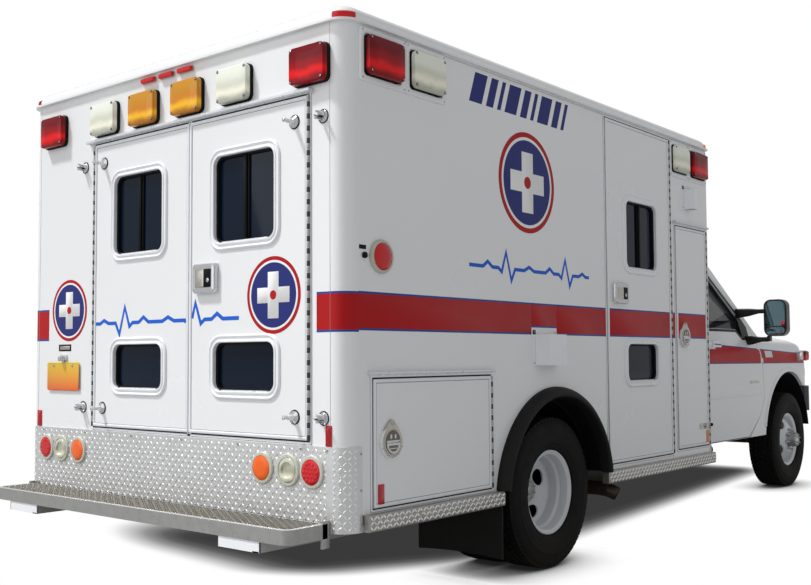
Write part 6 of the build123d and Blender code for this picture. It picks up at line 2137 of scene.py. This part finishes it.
# ---------------------------------------------------------------- cab trims
# name, path, width, how far out, thickness, material, on the door or not, slot
CAB_TRIMS = (
    ("body_crease", ((CAB + .362, .815), (CAB + 1.400, .825)), .044, -.001, .0085, paint, True, "body_paint"),
    ("fender_plate", ((CAB + 1.500, 1.128), (CAB + 1.665, 1.126)), .056, .001, .003, chrome, False,
     "fitting_metal"),
    ("door_plate", ((CAB + 1.170, .905), (CAB + 1.345, .905)), .022, .0005, .002, steel, True,
     "fitting_metal"),
    ("side_marker", ((AXLE_F + .655, .965), (AXLE_F + .765, .955)), .085, .001, .006, amber_reflector, False,
     "lamp_plastic"))
for side, tag in ((-1, "right"), (1, "left")):
    for name, path, width, out, thick, mat, on_door, slot in CAB_TRIMS:
        made(f"{tag}_{name}", lambda bm: laid_ribbon(bm, CAB_SKIN[tag], side, path, width, out, thick),
             (mat,), f"cab_{tag}_door" if on_door else "chassis", angle=60)

    def cab_step(bm):
        y = sorted((side * .960, side * 1.130))
        block(bm, PLAN, (FRONT - .004, FRONT + .090), y, (.438, .444))
        block(bm, PLAN, (FRONT + .084, FRONT + .090), y, (.420, .444))
    made(f"{tag}_cab_step", cab_step, (alloy,), "chassis")

# ---------------------------------------------------------------- padded seats
EULER = 2.718
SQUARENESS = 7  # the higher, the squarer a pad's corners
CHANNEL_WIDTH, CHANNEL_DEPTH = .009, .16  # of the sewn lines; the depth in shares of half the thickness


def cushion(bm, centre, half, crown, pull, channels, cells=18, thin=2):
    """A crowned closed pad: sides drawn in between its corners and sewn channels across its broad faces.

    thin is the axis through its thickness; channels lists (axis, share) of the sewn lines.
    """
    broad = [axis for axis in range(3) if axis != thin]
    grid, sides = {}, []
    for axis in range(3):
        others = [k for k in range(3) if k != axis]
        for end in (-1, 1):
            table = []
            for i in range(cells + 1):
                row = []
                for j in range(cells + 1):
                    key = [0, 0, 0]
                    key[axis] = end * cells
                    key[others[0]], key[others[1]] = 2 * i - cells, 2 * j - cells
                    key = tuple(key)
                    if key not in grid:
                        share = Vector([k / cells for k in key])
                        length = sum(abs(c) ** SQUARENESS for c in share) ** (1 / SQUARENESS)
                        share = share / length
                        a, b = share[broad[0]], share[broad[1]]
                        point = [share[k] * half[k] for k in range(3)]
                        point[thin] *= 1 - crown * (1 - (1 - a ** 2) * (1 - b ** 2))
                        point[broad[0]] *= 1 - pull * (1 - b ** 2) * abs(a) ** 3
                        point[broad[1]] *= 1 - pull * (1 - a ** 2) * abs(b) ** 3
                        for line_axis, line in channels:
                            gap = (share[line_axis] - line) * half[line_axis] / CHANNEL_WIDTH
                            if abs(share[thin]) > .5:
                                point[thin] *= 1 - CHANNEL_DEPTH * EULER ** (-gap * gap)
                        grid[key] = bm.verts.new(Vector(centre) + Vector(point))
                    row.append(grid[key])
                table.append(row)
            sides.append((table, end))
    for table, end in sides:
        for a, b in zip(table, table[1:]):
            for k in range(cells):
                bm.faces.new((a[k], a[k + 1], b[k + 1], b[k]))
    seam = []
    for k in range(49):
        turn = 2 * pi * k / 48
        c, d = cos(turn), sin(turn)
        length = (abs(c) ** SQUARENESS + abs(d) ** SQUARENESS) ** (1 / SQUARENESS)
        point = [0, 0, 0]
        a, b = c / length, d / length
        point[broad[0]] = a * half[broad[0]] * (1 - pull * (1 - b ** 2) * abs(a) ** 3) * 1.002
        point[broad[1]] = b * half[broad[1]] * (1 - pull * (1 - a ** 2) * abs(b) ** 3) * 1.002
        point[thin] = half[thin] * .30
        seam.append(Vector(centre) + Vector(point))
    tube(bm, seam, .0035, 8, 1)


INNER_FRONT = FRONT - .060
# name, centre x, y, seat height, half width, back height, floor, facing
SEATS = (("driver_seat", CAB + .560, .430, 1.080, .250, 1.640, .720, 1),
         ("passenger_seat", CAB + .560, -.430, 1.080, .250, 1.640, .720, 1),
         ("attendant_seat", INNER_FRONT - .330, 0, 1.180, .240, 1.800, .752, -1))
for number, (name, x, y, height, half, back, floor_z, facing) in enumerate(SEATS):
    lean = facing * (half - .060)
    made(f"{name}_cushion", lambda bm: cushion(
        bm, (x, y, height - .066), (half - .004, half - .006, .062), .30, .05,
        ((1, -.52), (1, .52), (0, .45), (0, -.2))), (vinyl, seal), "chassis", angle=70,
        stands_for=("seats",) if number == 0 else ())
    made(f"{name}_backrest", lambda bm: cushion(
        bm, (x - lean, y, (height + back - .150) / 2), (.056, half - .008, (back - .150 - height) / 2), .26,
        .06, ((1, -.52), (1, .52), (2, .35), (2, -.2)), thin=0), (vinyl, seal), "chassis",
        angle=70)
    made(f"{name}_headrest", lambda bm: cushion(
        bm, (x - lean, y, back - .072), (.044, half * .56, .066), .22, .05, (), 12, thin=0), (vinyl, seal),
        "chassis", angle=70)

    def seat_frame(bm):
        foot = span((x - half + .070, x + half - .070), (y - half + .070, y + half - .070), 0, .03, 4)
        pan = span((x - half + .010, x + half - .010), (y - half + .012, y + half - .012), 0, .03, 4)
        stack(bm, PLAN, [(foot, floor_z), (foot, height - .150), (pan, height - .146), (pan, height - .124)])
        for offset in (-.055, .055):
            tube(bm, [(x - lean, y + offset, back - .190), (x - lean, y + offset, back - .110)], .006, 10, 1)
        edge = half - .006
        tube(bm, [(x - lean * .9, y + edge, height - .090), (x - lean * .6, y + edge, height + .020)], .010,
             8, 2)
        block(bm, PLAN, sorted((x - lean * .60, x - lean * .48)), (y + edge - .014, y + edge + .004),
              (height + .005, height + .055), 2, .004)
    made(f"{name}_frame", seat_frame, (plastic, chrome, seal), "chassis")

BENCH_START, BENCH_END = REAR + .120, REAR + 2.188
for number in range(3):
    length = (BENCH_END - BENCH_START) / 3
    centre_x = BENCH_START + length * (number + .5)
    made(f"bench_cushion_{number}", lambda bm: cushion(
        bm, (centre_x, -.842, 1.239), (length / 2 - .003, .236, .038), .22, .02, ((0, 0),)), (vinyl, seal),
        "chassis", angle=70)
    made(f"bench_back_{number}", lambda bm: cushion(
        bm, (centre_x, -1.111, 1.520), (length / 2 - .004, .027, .157), .22, .02, ((0, 0),), thin=1),
        (vinyl, seal), "chassis", angle=70)

# ---------------------------------------------------------------- cab inside
DASH_BACK = 1.130  # from the back of the cab to the dashboard


def cab_inside(bm):
    """Instrument hood with three dials, a screen, four vents, a flat panel and a row of knobs on the
    dashboard.
    """
    face = Face((CAB + DASH_BACK, 0, 0), (0, 1, 0), (0, 0, 1), (-1, 0, 0))
    panels(bm, face, (.270, .590), (1.085, 1.205), ((0, .04, -.10), (0, .04, .020), (-.012, .03, .028),
                                                    (-.020, .03, .004)), steps=5)
    for u in (.350, .430, .510):
        spin(bm, face.at(u, 1.142, .004), face.out,
             [(0, 0), (.030, 0), (.030, .003), (.027, .004), (.026, .0015),
                                                    (0, .0015)], 28, 1)
    block(bm, face, (-.110, .110), (1.075, 1.170), (0, .006), 1, .004)
    block(bm, face, (-.085, .085), (1.092, 1.155), (.006, .0072), 2, .002)
    for u in (-.700, -.190, .190, .690):
        block(bm, face, (u - .048, u + .048), (1.120, 1.170), (0, .008), 1, .006)
        for k in range(4):
            block(bm, face, (u - .042, u + .042), (1.127 + .011 * k, 1.130 + .011 * k), (.008, .010), 0,
                  .0005)
    block(bm, face, (-.640, -.300), (1.005, 1.095), (0, .005), 0, .006)
    for k in range(6):
        spin(bm, face.at(-.085 + .034 * k, 1.035, .0), face.out, [(0, 0), (.010, 0), (.009, .012), (0, .013)],
             16, 1)


made("dashboard_details", cab_inside, (cabin, seal, screen_glass), "chassis")

# ---------------------------------------------------------------- patient room
def room_fittings(bm):
    """Ceiling lamps, grab rail, stretcher track, cabinet doors with knobs, and low cupboard doors with
    handles.
    """
    up = Face((0, 0, ROOF - .050), (1, 0, 0), (0, 1, 0), (0, 0, -1))
    for k in range(4):
        for y in (-.42, .42):
            u = REAR + .55 + .80 * k
            discs(bm, up, u, y, ((.085, 0), (.085, .008), (.072, .014), (.060, .010)), count=28)
            discs(bm, up, u, y, ((.058, .008), (.050, .013)), 2, count=28)
    rail = [(REAR + .45 + .55 * k, 0, ROOF - .105) for k in range(6)]
    tube(bm, rail, .016, 14, 0)
    for point in rail:
        tube(bm, [point, (point[0], 0, ROOF - .052)], .011, 10, 0)
        discs(bm, up, point[0], 0, ((.034, 0), (.030, .006)), count=20)
    floor = Face((0, 0, .752), (1, 0, 0), (0, 1, 0), (0, 0, 1))
    block(bm, floor, (REAR + .35, REAR + 2.45), (-.035, .035), (0, .010), 0, .002)
    block(bm, floor, (REAR + .38, REAR + 2.42), (-.010, .010), (.010, .012), 1, .0005)
    wall = Face((0, .740, 0), (1, 0, 0), (0, 0, 1), (0, -1, 0))
    for low_u, high_u in ((.30, 1.02), (1.18, 1.88), (2.08, 2.78)):
        for low_v, high_v in ((1.200, 1.645), (1.755, 2.390)):
            half = (low_u + high_u) / 2
            block(bm, wall, (REAR + low_u, REAR + half + .02), (low_v, high_v), (.004, .009), 3, .001)
            block(bm, wall, (REAR + half - .02, REAR + high_u), (low_v, high_v), (.010, .015), 3, .001)
            for u, depth in ((REAR + half - .03, .009), (REAR + half + .03, .015)):
                discs(bm, wall, u, (low_v + high_v) / 2, ((.018, depth), (.015, depth + .006)), count=20)
    base = Face((0, .600, 0), (1, 0, 0), (0, 0, 1), (0, -1, 0))
    for k in range(5):
        u = REAR + .16 + .57 * k
        block(bm, base, (u, u + .53), (.790, 1.060), (0, .012), 4, .004)
        block(bm, base, (u + .19, u + .34), (1.005, 1.020), (.012, .030), 0, .004)


made("room_fittings", room_fittings, (steel, seal, clear_lens, lamp_cover, laminate), "chassis")


def leaf_inside(face, u, v, panes):
    """The inner skin of a leaf: frames round its panes and a tread plate low down."""
    def build(bm):
        for pane_u, pane_v in panes:
            cu, cv = (pane_u[0] + pane_u[1]) / 2, (pane_v[0] + pane_v[1]) / 2
            hu, hv = (pane_u[1] - pane_u[0]) / 2, (pane_v[1] - pane_v[0]) / 2
            plates(bm, face, cu, cv, ((hu + .030, hv + .030, .075, 0), (hu + .030, hv + .030, .075, .004),
                                      (hu + .024, hv + .024, .069, .007),
                                      (hu + .001, hv + .001, .046, .006),
                                      (hu + .001, hv + .001, .046, -.020)), steps=8, loop=True)
        top = min([pane_v[0] for pane_u, pane_v in panes] + [v[0] + .60]) - .060
        block(bm, face, (u[0] + .035, u[1] - .035), (v[0] + .035, top), (0, .002), 1)
        lozenges(bm, face, (u[0] + .040, u[1] - .040), (v[0] + .040, top - .005), .002, pitch=.030,
                 length=.024, mat=2)
    return build


REAR_INSIDE = Face((REAR + .050, 0, 0), (0, 1, 0), (0, 0, 1), (1, 0, 0))
ENTRY_INSIDE = Face((REAR, -HALF + .050, 0), (1, 0, 0), (0, 0, 1), (0, 1, 0))
for name, face, u, v, pane_u in (("rear_left_door", REAR_INSIDE, LEFT_LEAF_U, REAR_DOOR_V, REAR_LEFT_U),
                                 ("rear_right_door", REAR_INSIDE, RIGHT_LEAF_U, REAR_DOOR_V, REAR_RIGHT_U),
                                 ("entry_door", ENTRY_INSIDE, ENTRY_LEAF_U, ENTRY_V, ENTRY_U)):
    made(f"{name}_inside", leaf_inside(face, u, v, ((pane_u, UPPER_V), (pane_u, LOWER_V))),
         (frame_paint, tread, tread_bar_highlight), name)


def lever(face, u, v):
    """The inside release lever of a leaf on its plate."""
    def build(bm):
        plates(bm, face, u, v, ((.055, .030, .012, 0), (.055, .030, .012, .008), (.050, .025, .010, .011)))
        plates(bm, face, u, v, ((.040, .012, .010, .010), (.040, .012, .010, .024),
                                (.036, .009, .008, .027)), 1)
    return build


made("rear_right_lever", lever(REAR_INSIDE, -.330, 1.487), (chrome, steel), "rear_right_door")
made("entry_lever", lever(ENTRY_INSIDE, 2.350, 1.487), (chrome, steel), "entry_door")
for door, rod_u in (("rear_left_door", -.150), ("rear_right_door", -.250)):
    rod = [(REAR + out, rod_u, z) for out, z in ((.050, 1.330), (.082, 1.345), (.082, 1.610), (.050, 1.625))]
    made(f"{door}_grab_bar", lambda bm: tube(bm, rod, .010), (steel,), door)


# ---------------------------------------------------------------- hood inside and engine dressing
def engine_dressing(bm):
    """A ribbed cover, a round cap, a hose and small round plugs along both sides of the engine block."""
    top = 1.110
    panels(bm, PLAN, (AXLE_F - .40, AXLE_F + .36), (-.20, .20), (
        (0, .05, top - .004), (0, .05, top + .022), (-.02, .04, top + .034)), steps=5)
    for k in range(5):
        rib_x = (AXLE_F - .34 + .14 * k, AXLE_F - .30 + .14 * k)
        block(bm, PLAN, rib_x, (-.16, .16), (top + .034, top + .042), 0, .006)
    discs(bm, PLAN, AXLE_F + .30, -.12, ((.040, top), (.040, top + .045), (.034, top + .052)), 1, count=24)
    hose = [(AXLE_F + ahead, y, z) for ahead, y, z in ((.42, .16, 1.08), (.50, .17, 1.07), (.58, .17, 1.02),
                                                       (.63, .17, .98))]
    tube(bm, hose, .026, 14, 1)
    for side in (-1, 1):
        for k in range(4):
            spin(bm, (AXLE_F - .36 + .22 * k, side * .302, .90), (0, side, 0), [
                (0, 0), (.034, 0), (.034, .012), (.026, .020), (0, .020)], 20, 2)


made("engine_dressing", engine_dressing, (plastic, seal, steel), "chassis")
